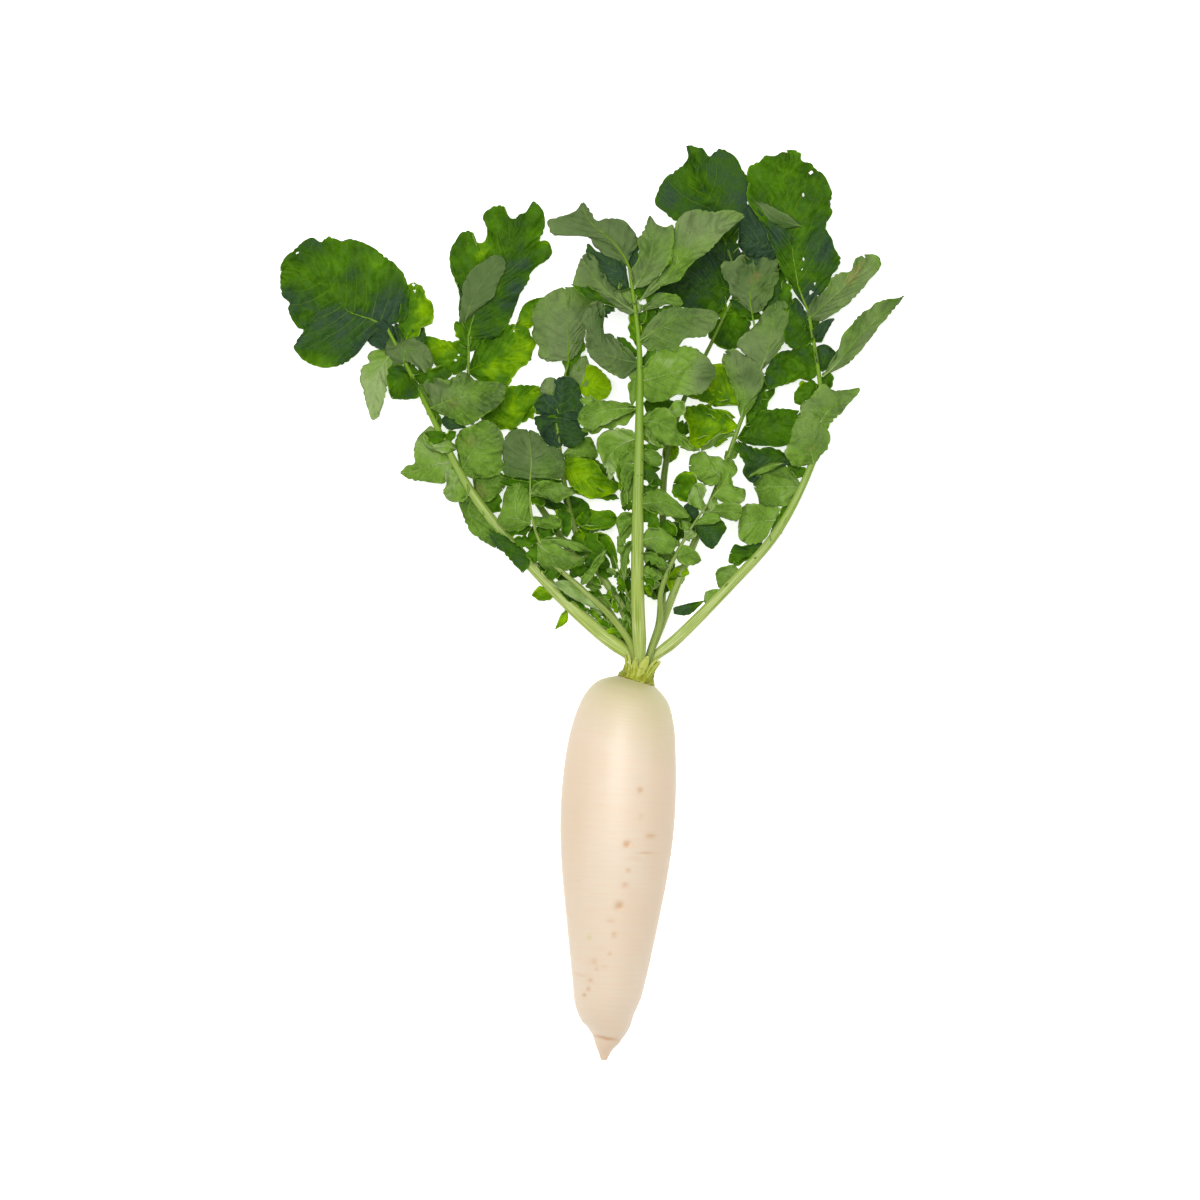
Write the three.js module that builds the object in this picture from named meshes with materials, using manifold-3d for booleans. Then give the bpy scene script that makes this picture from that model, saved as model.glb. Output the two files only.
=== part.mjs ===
// Daikon radish, pulled whole: a long white root lying on its belly, with its crown and its leaves.
// Millimetres. The origin is on the resting face, under the root's belly. +Y runs from the tail to the
// leaves, +X to the right as seen from above, and +Z up.

import * as THREE from "three";
import { mergeVertices } from "three/addons/utils/BufferGeometryUtils.js";
import Module from "manifold-3d";

const wasm = await Module();
wasm.setup();

// ---- Driving dimensions ----

const GAP = 0.3; // between pieces that touch
const WELD = 1e-4; // corners closer than this are one corner
const DEGREE = Math.PI / 180;

// The root's stations from tail to shoulder: centre x, y, z, radius. The belly is straighter than the back.
const ROOT_STATIONS = [
  [-0.9, -173.5, 29, 2.2],
  [-0.7, -168, 29.4, 4.5],
  [-0.4, -163, 29.8, 7.4],
  [0.5, -157.5, 30.2, 10.6],
  [0.8, -149, 30.8, 15.7],
  [-0.4, -140, 31.5, 20.1],
  [-0.9, -133, 32, 22.4],
  [-0.4, -118, 33.2, 25.2],
  [0, -79, 35.6, 31.3],
  [0, -44, 37.2, 36.3],
  [0, -19, 38, 38.6],
  [0, 10, 38.2, 39],
  [0.4, 38, 37.8, 37.2],
  [1.6, 55, 37.2, 34.8],
  [2.8, 64, 37, 32.6],
  [4.1, 70.5, 36.9, 30.3],
  [5.4, 76, 36.8, 27.2],
  [6.4, 80, 36.8, 23.6],
  [7.2, 83.2, 36.8, 18.7],
  [7.9, 86.1, 36.8, 12.9],
];
const ROOT_RINGS = 25;
const ROOT_SIDES = 24;
const ROOT_ROOM_BELOW = 400; // side of the block that levels the resting face

// The crown carries on from the root's shoulder: distance along its axis and radius of each ring.
const CROWN_RINGS = [
  [GAP, 12.9],
  [3, 12.2],
  [6, 10.8],
  [9, 10],
  [11.5, 9.4],
  [13, 7.6],
];
const CROWN_SIDES = 12;
const SCALE_FOOT_RADIUS = 9.6;
const SCALE_TIP_CURL = 1.4;
const SCALE_HOLLOW = 1.6;
const SCALE_STEPS_ALONG = 3;
const SCALE_STEPS_ACROSS = 2;

// Dry leaf bases round the crown: how far along it, angle round it from +X towards +Z, length, width and
// how far the tip leans out.
const CROWN_SCALES = [
  [3, 24, 12, 9, 30],
  [4.5, 72, 15, 9, 12],
  [3.5, 118, 14, 9, 14],
  [3, 168, 12, 9, 34],
  [3, 240, 12, 10, 28],
  [3.5, 305, 12, 10, 30],
];

// The leaves lie in layers that start close together in the crown and spread to an even pitch.
const LAYER_FOOT_HEIGHTS = [30, 36, 38.2, 43.5, 47];
const LOWEST_LAYER_HEIGHT = 9.5;
const LAYER_PITCH = 17;
const LAYER_SPREAD_RADIUS = 150;
const LAYER_CLEARANCE = 0.55;
const TOP_LAYER_FREEDOM = 26;
const CROWN_CENTRE = [11, 97];

const BLADE_THICKNESS = 0.7;
const RIB_SIDES = 6;
const RIB_STEP = 24;
const RIB_IN_END_LEAF = 14; // how far the solid rib runs on under the end leaf
const RIB_FLATNESS = 0.86; // height of a rib over its width
const FOOT_LENGTH = 22; // over which a rib swells from its foot to its full radius
const LARGE_BLADE_WIDTH = 34; // a blade this wide is large
const LARGE_BLADE_STRIPS = 4; // across a large blade
const SMALL_BLADE_STRIPS = 2;
const STEPS_PER_TOOTH = 2;
const TEETH_BY_LENGTH = [[46, 2], [76, 3], [Infinity, 4]]; // a blade shorter than this, teeth on each side

const RISE_SHARE = 0.35; // a leaflet first rises by this share of its bend
const ROLL_COMPLETE = 1 / 3; // how far along a leaflet its roll is complete
const RIPPLE_TURNS = 7; // radians of ripple along a blade
const RIPPLE_OFFSET = 2; // radians between its two margins
const RIPPLE_SHIFT = 2.4; // radians from one leaflet to the next

// How a blade is bent, in degrees: fold is the rise of each half at the midvein, cup its further turn
// towards the margin, bend the midvein's turn from base to tip, and roll the tilt about the midvein.
// wave is the ripple of the margin, over the half width.
const HABITS = {
  flat: { fold: 6, cup: 10, bend: -6, roll: 0, wave: 0.1 },
  cup: { fold: 16, cup: 38, bend: -14, roll: 0, wave: 0.1 },
  wave: { fold: 8, cup: 12, bend: -10, roll: 0, wave: 0.3 },
  crisp: { fold: 14, cup: -46, bend: 18, roll: 0, wave: 0.34 },
  hang: { fold: 12, cup: 24, bend: -48, roll: 0, wave: 0.12 },
  tilt: { fold: 12, cup: 26, bend: -18, roll: 42, wave: 0.16 },
  lean: { fold: 12, cup: 26, bend: -18, roll: -42, wave: 0.16 },
  curl: { fold: 20, cup: 88, bend: -34, roll: 0, wave: 0.08 },
};

// Outlines: where along the blade it is widest, how full its sides are, how deep its teeth are cut, and
// how wide its base is, over its greatest width.
const OUTLINES = {
  lobe: { widest: 0.5, fullness: 2.7, tooth: 0.18, base: 0.3 },
  round: { widest: 0.55, fullness: 2.9, tooth: 0.12, base: 0.1 },
  lance: { widest: 0.42, fullness: 1.9, tooth: 0.14, base: 0.14 },
};
const OUTLINE_TIP = 0.07;

// Each frond: path is the rib in plan, from its foot in the crown to the tip of its end leaf. girth is
// the rib's radius near the foot, at the tip, and how late it tapers. droop lets the far end sink by a
// height between two distances from the crown. A leaflet row gives the distance along the rib in mm, the
// angle from the rib in degrees (left is positive), length, width, 1 if the upper side faces up or -1 if
// the underside does, habit, and the outline where it isn't a lobe. endLeaf gives where it starts along
// the rib, its width, face and habit.
const FRONDS = [
  {
    name: "frond_top_centre",
    layer: 4,
    footRadius: 2.8,
    girth: [4.7, 0.8, 1.6],
    droop: [230, 330, 16],
    path: [[10, 93], [9.6, 101], [6, 141], [3, 200], [1, 263], [-2, 315], [-9, 356], [-24, 383], [-43, 405]],
    endLeaf: [265, 46, -1, "hang"],
    leaflets: [
      [260, -30, 50, 22, -1, "cup"],
      [250, -60, 92, 32, -1, "wave"],
      [240, -75, 35, 20, -1, "tilt"],
      [225, -75, 58, 26, -1, "flat"],
      [200, -90, 52, 34, -1, "cup"],
      [170, -100, 36, 26, -1, "wave"],
      [145, -95, 26, 20, -1, "crisp"],
      [115, -100, 34, 20, -1, "crisp"],
      [90, -105, 36, 16, -1, "wave"],
      [245, 40, 52, 22, -1, "cup"],
      [225, 55, 40, 26, -1, "cup"],
      [205, 70, 34, 22, -1, "tilt"],
      [180, 105, 44, 20, -1, "cup"],
      [155, 120, 32, 26, -1, "wave"],
      [130, 135, 26, 18, -1, "crisp"],
      [105, 125, 24, 16, -1, "crisp"],
    ],
  },
  {
    name: "frond_left",
    layer: 2,
    footRadius: 2.6,
    girth: [4.8, 0.8, 0.9],
    droop: [170, 290, 27],
    path: [[4.4, 93], [3, 101], [-18, 117], [-48, 142], [-90, 184], [-113, 212], [-136, 251], [-160, 294],
      [-175, 310], [-202, 331], [-222, 355], [-233, 374]],
    endLeaf: [265, 80, 1, "flat"],
    leaflets: [
      [270, -95, 44, 32, 1, "flat"],
      [275, 110, 52, 24, -1, "hang"],
      [255, -130, 24, 22, -1, "curl"],
      [245, 75, 24, 20, -1, "curl"],
      [235, -110, 56, 30, -1, "wave"],
      [210, 110, 44, 36, -1, "cup"],
      [200, -120, 42, 30, -1, "crisp"],
      [185, -140, 44, 22, -1, "wave"],
      [168, 150, 44, 26, -1, "cup"],
      [150, 170, 46, 16, 1, "curl", "lance"],
      [145, -95, 24, 20, -1, "cup"],
      [125, -100, 22, 15, -1, "wave"],
      [92, 105, 13, 9, 1, "flat"],
      [68, 95, 10, 8, 1, "flat"],
    ],
  },
  {
    name: "frond_right",
    layer: 2,
    footRadius: 2.4,
    girth: [4.2, 0.8, 1],
    droop: [200, 300, 17],
    path: [[18.8, 93], [19.4, 100], [33, 115], [68, 154], [97, 190], [117, 232], [126, 266], [122, 297],
      [113, 340], [103, 371], [93, 415], [91, 454]],
    endLeaf: [290, 66, 1, "wave"],
    leaflets: [
      [270, -50, 68, 28, -1, "tilt"],
      [240, -55, 80, 28, -1, "lean", "lance"],
      [250, 85, 42, 34, 1, "wave"],
      [225, 110, 44, 22, 1, "crisp"],
      [190, -15, 56, 34, -1, "cup"],
      [200, 40, 48, 30, -1, "cup"],
      [190, 95, 48, 24, 1, "cup"],
      [160, 80, 50, 30, -1, "crisp"],
      [140, 115, 34, 24, -1, "wave"],
      [112, 130, 24, 18, -1, "cup"],
      [85, 110, 16, 14, -1, "flat"],
      [67, 110, 11, 10, -1, "flat"],
      [53, 130, 19, 10, 1, "lean"],
    ],
  },
  {
    name: "frond_right_inner",
    layer: 1,
    footRadius: 1.9,
    girth: [3.1, 0.8, 1],
    droop: [230, 300, 4],
    path: [[14.4, 93], [14.8, 101], [22, 125], [35, 161], [53, 211], [68, 260], [81, 305], [81, 342],
      [62, 378]],
    endLeaf: [235, 42, -1, "wave"],
    leaflets: [
      [213, -5, 62, 26, -1, "cup"],
      [190, 45, 44, 20, -1, "tilt"],
      [182, 80, 36, 24, 1, "flat"],
      [170, 90, 38, 26, 1, "wave"],
      [165, -45, 25, 20, 1, "cup"],
      [136, 100, 30, 22, 1, "crisp"],
      [126, -35, 24, 18, -1, "wave"],
      [104, 95, 20, 13, 1, "flat"],
      [98, -100, 18, 15, 1, "cup"],
    ],
  },
  {
    name: "frond_young_right",
    layer: 3,
    footRadius: 1.8,
    girth: [2.3, 0.7, 1],
    droop: [200, 300, 0],
    path: [[16, 93], [16.2, 101], [18, 135], [23, 156], [39, 190], [54, 216], [59, 244]],
    endLeaf: [125, 30, -1, "wave"],
    leaflets: [
      [120, -50, 27, 20, -1, "wave"],
      [115, 60, 20, 15, -1, "crisp"],
      [100, -40, 19, 13, -1, "wave"],
      [98, 90, 17, 11, -1, "cup"],
      [83, -80, 18, 11, 1, "flat"],
      [80, 90, 15, 9, -1, "flat"],
    ],
  },
  {
    name: "frond_young_left",
    layer: 3,
    footRadius: 1.8,
    girth: [2.6, 0.7, 1],
    droop: [200, 300, 0],
    path: [[5.4, 93], [4.6, 101], [-5, 117], [-33, 146], [-57, 168], [-69, 195], [-71, 222], [-77, 253]],
    endLeaf: [155, 42, -1, "crisp"],
    leaflets: [
      [142, -80, 30, 15, -1, "wave"],
      [137, 70, 23, 24, -1, "curl"],
      [123, -90, 21, 12, -1, "tilt"],
      [107, -135, 36, 27, -1, "cup"],
      [110, 25, 17, 15, 1, "flat"],
      [58, 20, 27, 12, -1, "cup", "lance"],
    ],
  },
  {
    name: "frond_back_left",
    layer: 1,
    footRadius: 1.9,
    girth: [3.2, 0.8, 1],
    droop: [220, 300, 4],
    path: [[8, 93], [7.6, 101], [-4, 134], [-37, 182], [-52, 240], [-55, 270], [-49, 300], [-52, 322],
      [-66, 350]],
    endLeaf: [220, 52, -1, "cup"],
    leaflets: [
      [208, -80, 34, 24, -1, "tilt"],
      [182, 150, 46, 34, 1, "crisp"],
      [188, -140, 26, 28, 1, "crisp"],
      [155, -115, 43, 27, 1, "cup"],
      [142, 40, 20, 20, -1, "wave"],
      [109, -95, 31, 19, 1, "flat"],
      [86, -120, 22, 15, 1, "cup"],
      [97, 40, 20, 14, 1, "wave"],
    ],
  },
  {
    name: "frond_back_right",
    layer: 0,
    footRadius: 1.9,
    girth: [3.1, 0.8, 1],
    droop: [230, 300, 0],
    path: [[14.4, 93], [15, 101], [20, 142], [20, 182], [20, 230], [28, 271], [51, 327], [62, 358], [56, 388],
      [31, 447]],
    endLeaf: [290, 70, 1, "wave"],
    leaflets: [
      [285, -65, 54, 30, 1, "cup"],
      [268, 105, 48, 23, 1, "wave"],
      [241, 85, 44, 32, 1, "flat"],
      [243, -35, 32, 24, 1, "wave"],
      [206, -80, 31, 25, -1, "cup"],
      [190, 95, 26, 20, 1, "wave"],
      [156, 80, 18, 16, 1, "flat"],
      [148, -45, 20, 15, 1, "cup"],
    ],
  },
  {
    name: "frond_back_far_left",
    layer: 0,
    footRadius: 1.9,
    girth: [3.2, 0.8, 1],
    droop: [230, 300, 0],
    path: [[7.2, 93], [6.4, 101], [-19, 140], [-47, 179], [-93, 241], [-114, 276], [-118, 306], [-110, 338],
      [-86, 405]],
    endLeaf: [265, 60, 1, "wave"],
    leaflets: [
      [257, -5, 58, 22, -1, "tilt"],
      [231, -65, 56, 31, 1, "wave"],
      [234, 50, 38, 24, 1, "cup"],
      [208, -100, 44, 24, 1, "crisp"],
      [215, 55, 25, 20, 1, "flat"],
      [174, -110, 30, 20, -1, "cup"],
      [179, 55, 22, 18, -1, "wave"],
    ],
  },
  {
    name: "frond_young_centre",
    layer: 2,
    footRadius: 1.6,
    girth: [1.8, 0.6, 1],
    droop: [200, 300, 0],
    path: [[10.8, 93], [10.8, 101], [5, 127], [-3, 149], [-12, 170]],
    endLeaf: [60, 17, 1, "wave"],
    leaflets: [
      [54, 60, 18, 11, 1, "cup"],
      [52, -55, 19, 10, 1, "wave"],
      [41, 70, 15, 9, 1, "flat"],
      [39, -60, 17, 9, 1, "cup"],
    ],
  },
];

const COLOURS = {
  root: [0xf1e6d2, 0.42],
  crown: [0xa5b63c, 0.6],
  underside: [0x7f9d5c, 0.62],
  upper: [0x3c7a22, 0.55],
};

// ---- Curves and solids ----

const lerp = THREE.MathUtils.lerp;
const UP = new THREE.Vector3(0, 0, 1);

/** A solid from a closed geometry. */
function solidFromGeometry(geometry) {
  const bare = geometry.clone();
  bare.deleteAttribute("normal");
  bare.deleteAttribute("uv");
  const welded = mergeVertices(bare, WELD);
  return new wasm.Manifold(new wasm.Mesh({
    numProp: 3,
    vertProperties: welded.attributes.position.array,
    triVerts: new Uint32Array(welded.index.array),
  }));
}

/** A solid from corners and triangles. */
function solidFrom(corners, triangles) {
  const geometry = new THREE.BufferGeometry().setFromPoints(corners);
  return solidFromGeometry(geometry.setIndex(triangles.flat()));
}

/** Keeps the one body that holds most of a solid: drops loose scraps and fills sealed hollows. */
function mainBody(solid) {
  const bodies = solid.decompose();
  return bodies.reduce((best, body) => (body.volume() > best.volume() ? body : best));
}

/** A solid through rings of corners that run along it, closed by a flat end at each side. */
function solidThroughRings(rings) {
  const sides = rings[0].length;
  const corners = rings.flat();
  const triangles = [];
  for (let i = 0; i + 1 < rings.length; i += 1) {
    for (let j = 0; j < sides; j += 1) {
      const a = i * sides + j;
      const b = i * sides + ((j + 1) % sides);
      triangles.push([a, a + sides, b], [b, a + sides, b + sides]);
    }
  }
  const last = (rings.length - 1) * sides;
  for (let j = 1; j + 1 < sides; j += 1) {
    triangles.push([0, j, j + 1], [last, last + j + 1, last + j]);
  }
  return solidFrom(corners, triangles);
}

/** The directions across and above a line that runs along `along`. */
function crossFrame(along) {
  const across = new THREE.Vector3().crossVectors(along, UP).normalize();
  const above = new THREE.Vector3().crossVectors(across, along);
  return { across, above };
}

/** A ring of corners round a centre, across the direction `along`. */
function ringAround(centre, along, radius, sides, flatness = 1) {
  const { across, above } = crossFrame(along);
  return Array.from({ length: sides }, (_, j) => {
    const turn = (2 * Math.PI * (j + 0.5)) / sides;
    return centre.clone()
      .addScaledVector(across, radius * Math.cos(turn))
      .addScaledVector(above, radius * flatness * Math.sin(turn));
  });
}

// ---- Root and crown ----

const ROOT_AXIS = new THREE.CatmullRomCurve3(
  ROOT_STATIONS.map(([x, y, z]) => new THREE.Vector3(x, y, z)),
);

function rootSolid() {
  const girth = new THREE.SplineCurve(ROOT_STATIONS.map(([, y, , radius]) => new THREE.Vector2(y, radius)));
  const rings = Array.from({ length: ROOT_RINGS + 1 }, (_, i) => {
    const t = i / ROOT_RINGS;
    return ringAround(ROOT_AXIS.getPoint(t), ROOT_AXIS.getTangent(t), girth.getPoint(t).y, ROOT_SIDES);
  });
  const block = new THREE.BoxGeometry(ROOT_ROOM_BELOW, ROOT_ROOM_BELOW, ROOT_ROOM_BELOW);
  return solidThroughRings(rings).subtract(solidFromGeometry(block.translate(0, 0, -ROOT_ROOM_BELOW / 2)));
}

function crownSolid() {
  const foot = ROOT_AXIS.getPoint(1);
  const axis = ROOT_AXIS.getTangent(1);
  const { across, above } = crossFrame(axis);
  const rings = CROWN_RINGS.map(([distance, radius]) => {
    return ringAround(foot.clone().addScaledVector(axis, distance), axis, radius, CROWN_SIDES);
  });
  return CROWN_SCALES.reduce((crown, [start, angle, length, width, lean]) => {
    const outward = across.clone().multiplyScalar(Math.cos(angle * DEGREE))
      .addScaledVector(above, Math.sin(angle * DEGREE));
    const along = axis.clone().multiplyScalar(Math.cos(lean * DEGREE))
      .addScaledVector(outward, Math.sin(lean * DEGREE));
    const sideways = new THREE.Vector3().crossVectors(along, outward).normalize();
    const base = foot.clone().addScaledVector(axis, start).addScaledVector(outward, SCALE_FOOT_RADIUS);
    const sheet = (u, v) => base.clone()
      .addScaledVector(along, length * u)
      .addScaledVector(sideways, 0.5 * width * v * outlineWidth(OUTLINES.lance, u, 0))
      .addScaledVector(outward, SCALE_TIP_CURL * u * u - SCALE_HOLLOW * v * v);
    return crown.add(bladeSolid(sheet, SCALE_STEPS_ALONG, SCALE_STEPS_ACROSS));
  }, solidThroughRings(rings));
}

// ---- Layers ----

function layerHeight(layer, distance) {
  const spread = 1 - (1 - Math.min(distance / LAYER_SPREAD_RADIUS, 1)) ** 2;
  return lerp(LAYER_FOOT_HEIGHTS[layer], LOWEST_LAYER_HEIGHT + layer * LAYER_PITCH, spread);
}

function distanceFromCrown(point) {
  return Math.hypot(point.x - CROWN_CENTRE[0], point.y - CROWN_CENTRE[1]);
}

/** The height of a frond's middle, with the droop of its far end. */
function frondHeight(frond, distance) {
  const [from, to, drop] = frond.droop;
  return layerHeight(frond.layer, distance) - drop * THREE.MathUtils.smoothstep(distance, from, to);
}

/** Presses a point softly into its frond's own layer. */
function keepInLayer(frond, point) {
  const distance = distanceFromCrown(point);
  const middle = frondHeight(frond, distance);
  const here = layerHeight(frond.layer, distance);
  const top = frond.layer + 1 < LAYER_FOOT_HEIGHTS.length;
  const above = top ? (layerHeight(frond.layer + 1, distance) - here) / 2 : TOP_LAYER_FREEDOM;
  const below = frond.layer > 0 ? (here - layerHeight(frond.layer - 1, distance)) / 2 : middle;
  const rise = point.z - middle;
  const room = (rise > 0 ? above : below) - LAYER_CLEARANCE - BLADE_THICKNESS / 2;
  point.z = middle + room * Math.tanh(rise / room);
  return point;
}

// ---- Fronds ----

function ribCurve(frond) {
  return new THREE.CatmullRomCurve3(frond.path.map(([x, y]) => {
    const distance = y < CROWN_CENTRE[1] ? 0 : Math.hypot(x - CROWN_CENTRE[0], y - CROWN_CENTRE[1]);
    return new THREE.Vector3(x, y, frondHeight(frond, distance));
  }), false, "centripetal");
}

/** A frond's rib, or with `grown` the room that it needs in the crown. */
function ribSolid(frond, grown = 0) {
  const curve = ribCurve(frond);
  const length = curve.getLength();
  const [full, tip, taper] = frond.girth;
  const end = (frond.endLeaf[0] + RIB_IN_END_LEAF) / length;
  const steps = Math.round((end * length) / RIB_STEP);
  const rings = Array.from({ length: steps + 1 }, (_, i) => {
    const t = (end * i) / steps;
    const radius = tip + (full - tip) * (1 - t ** taper);
    const foot = lerp(frond.footRadius, radius, Math.min((t * length) / FOOT_LENGTH, 1));
    const along = curve.getTangentAt(t);
    const centre = curve.getPointAt(t);
    if (i === 0) {
      centre.addScaledVector(along, -grown);
    }
    return ringAround(centre, along, foot + grown, RIB_SIDES, RIB_FLATNESS);
  });
  return solidThroughRings(rings);
}

/** Half the width of a blade at u along it, from 0 to 1, over half its greatest width. */
function outlineWidth(outline, u, teeth, phase = 0) {
  const place = u ** (Math.log(0.5) / Math.log(outline.widest));
  const body = Math.sqrt(1 - Math.abs(2 * place - 1) ** outline.fullness);
  const cut = teeth ? (outline.tooth / 2) * Math.cos(2 * Math.PI * teeth * u + phase) : 0;
  return Math.max(body * (1 - cut), lerp(outline.base, OUTLINE_TIP, u));
}

/** The sheet of a leaflet that springs from a base point in the plan direction `heading`. */
function leafletSheet(frond, base, heading, row, seed) {
  const [, , length, width, face, habitName, outlineName = "lobe"] = row;
  const habit = HABITS[habitName];
  const outline = OUTLINES[outlineName];
  const teeth = teethAlong(length);
  const bend = habit.bend * DEGREE;
  const lift = -bend * RISE_SHARE;
  const across = new THREE.Vector3().crossVectors(heading, UP);
  const phase = RIPPLE_SHIFT * seed;
  return (u, v) => {
    const pitch = lift + bend * u;
    const run = (length * (Math.sin(pitch) - Math.sin(lift))) / bend;
    const rise = (-length * (Math.cos(pitch) - Math.cos(lift))) / bend;
    const spine = base.clone().addScaledVector(heading, run).addScaledVector(UP, rise);
    const along = heading.clone().multiplyScalar(Math.cos(pitch)).addScaledVector(UP, Math.sin(pitch));
    const above = new THREE.Vector3().crossVectors(across, along);
    const roll = habit.roll * DEGREE * Math.min(u / ROLL_COMPLETE, 1);
    const halfWidth = (width / 2) * outlineWidth(outline, u, teeth, v > 0 ? 0 : Math.PI);
    return keepInLayer(frond, sectionPoint(spine, across, above, halfWidth, u, v, habit, face, roll, phase));
  };
}

/** A point of a blade's cross-section: each half leaves the midvein at the fold and turns by the cup. */
function sectionPoint(spine, across, above, halfWidth, u, v, habit, face, roll, phase) {
  const fold = habit.fold * DEGREE;
  const cup = habit.cup * DEGREE;
  const turn = fold + cup * Math.abs(v);
  const out = (halfWidth * (Math.sin(turn) - Math.sin(fold))) / cup;
  const rippleAngle = RIPPLE_TURNS * u + phase + (v > 0 ? 0 : RIPPLE_OFFSET);
  const ripple = habit.wave * halfWidth * v * v * Math.sin(rippleAngle);
  const up = face * ((-halfWidth * (Math.cos(turn) - Math.cos(fold))) / cup + ripple);
  const side = Math.sign(v) * out;
  return spine.clone()
    .addScaledVector(across, side * Math.cos(roll) - up * Math.sin(roll))
    .addScaledVector(above, side * Math.sin(roll) + up * Math.cos(roll));
}

/** The sheet of a frond's end leaf, whose midvein is the end of the rib. */
function endLeafSheet(frond, curve, length) {
  const [start, width, face, habitName] = frond.endLeaf;
  const habit = HABITS[habitName];
  const teeth = teethAlong(length - start);
  const phase = RIPPLE_SHIFT * frond.layer;
  return (u, v) => {
    const t = (start + (length - start) * u) / length;
    const spine = curve.getPointAt(t);
    const { across, above } = crossFrame(curve.getTangentAt(t));
    const halfWidth = (width / 2) * outlineWidth(OUTLINES.round, u, teeth, v > 0 ? 0 : Math.PI);
    return keepInLayer(frond, sectionPoint(spine, across, above, halfWidth, u, v, habit, face, 0, phase));
  };
}

function teethAlong(length) {
  return TEETH_BY_LENGTH.find(([limit]) => length < limit)[1];
}

/** A thin closed blade on both sides of a sheet, which is given for u from 0 to 1 and v from -1 to 1. */
function bladeSolid(sheet, alongSteps, acrossSteps) {
  const row = acrossSteps + 1;
  const sheetPoints = [];
  for (let i = 0; i <= alongSteps; i += 1) {
    for (let j = 0; j < row; j += 1) {
      sheetPoints.push(sheet(i / alongSteps, (2 * j) / acrossSteps - 1));
    }
  }
  const at = (i, j) => sheetPoints[THREE.MathUtils.clamp(i, 0, alongSteps) * row
    + THREE.MathUtils.clamp(j, 0, acrossSteps)];
  const offsets = sheetPoints.map((_, k) => {
    const i = Math.floor(k / row);
    const j = k % row;
    const acrossIt = new THREE.Vector3().subVectors(at(i, j + 1), at(i, j - 1));
    const alongIt = new THREE.Vector3().subVectors(at(i + 1, j), at(i - 1, j));
    return acrossIt.cross(alongIt).setLength(BLADE_THICKNESS / 2);
  });
  const upper = sheetPoints.map((p, k) => p.clone().add(offsets[k]));
  const lower = sheetPoints.map((p, k) => p.clone().sub(offsets[k]));
  const half = sheetPoints.length;
  const triangles = [];
  for (let i = 0; i < alongSteps; i += 1) {
    for (let j = 0; j < acrossSteps; j += 1) {
      const a = i * row + j;
      const b = a + 1;
      const c = a + row;
      const d = c + 1;
      const pair = j < acrossSteps / 2 ? [[a, b, d], [a, d, c]] : [[a, b, c], [b, d, c]];
      for (const [p, q, r] of pair) {
        triangles.push([p, q, r], [half + p, half + r, half + q]);
      }
    }
  }
  const rim = [];
  for (let j = 0; j < acrossSteps; j += 1) {
    rim.push(j);
  }
  for (let i = 0; i < alongSteps; i += 1) {
    rim.push(i * row + acrossSteps);
  }
  for (let j = acrossSteps; j > 0; j -= 1) {
    rim.push(alongSteps * row + j);
  }
  for (let i = alongSteps; i > 0; i -= 1) {
    rim.push(i * row);
  }
  rim.forEach((p, k) => {
    const q = rim[(k + 1) % rim.length];
    triangles.push([half + p, half + q, q], [half + p, q, p]);
  });
  return solidFrom([...upper, ...lower], triangles);
}

function frondSolid(frond) {
  const curve = ribCurve(frond);
  const length = curve.getLength();
  const endSteps = STEPS_PER_TOOTH * teethAlong(length - frond.endLeaf[0]);
  const endLeaf = bladeSolid(endLeafSheet(frond, curve, length), endSteps, LARGE_BLADE_STRIPS);
  const whole = frond.leaflets.reduce((solid, row, k) => {
    const [along, angle, leafletLength, width] = row;
    const t = along / length;
    const tangent = curve.getTangentAt(t);
    const heading = new THREE.Vector3(tangent.x, tangent.y, 0).normalize().applyAxisAngle(UP, angle * DEGREE);
    const sheet = leafletSheet(frond, curve.getPointAt(t), heading, row, k + frond.layer);
    const strips = width >= LARGE_BLADE_WIDTH ? LARGE_BLADE_STRIPS : SMALL_BLADE_STRIPS;
    return solid.add(bladeSolid(sheet, STEPS_PER_TOOTH * teethAlong(leafletLength), strips));
  }, ribSolid(frond).add(endLeaf));
  return mainBody(whole);
}

// ---- The radish ----

function meshOf(name, solid, [colour, roughness]) {
  const { vertProperties, triVerts } = solid.getMesh();
  const geometry = new THREE.BufferGeometry();
  geometry.setAttribute("position", new THREE.BufferAttribute(vertProperties, 3));
  geometry.setIndex(new THREE.BufferAttribute(triVerts, 1));
  geometry.computeVertexNormals();
  const material = new THREE.MeshStandardMaterial({ color: colour, roughness, metalness: 0 });
  const mesh = new THREE.Mesh(geometry, material);
  mesh.name = name;
  return mesh;
}

const radish = new THREE.Group();
radish.add(meshOf("root", rootSolid(), COLOURS.root));

const sockets = FRONDS.map((frond) => ribSolid(frond, GAP));
const crown = sockets.reduce((solid, socket) => solid.subtract(socket), crownSolid());
radish.add(meshOf("crown", mainBody(crown), COLOURS.crown));

for (const frond of FRONDS) {
  const colour = frond.endLeaf[2] > 0 ? COLOURS.upper : COLOURS.underside;
  radish.add(meshOf(frond.name, frondSolid(frond), colour));
}

export default radish;
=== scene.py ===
"""Daikon radish with its leaves: the looks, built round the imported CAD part.

The root, the crown and the ten leaves are made again as finer meshes in the places of their CAD nodes.
Plan points and sizes are in millimetres in the part's frame: +Y from the tail to the leaves, +X to the
right as seen from above, +Z up. Blender's own lengths are metres.
"""

import math

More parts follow.
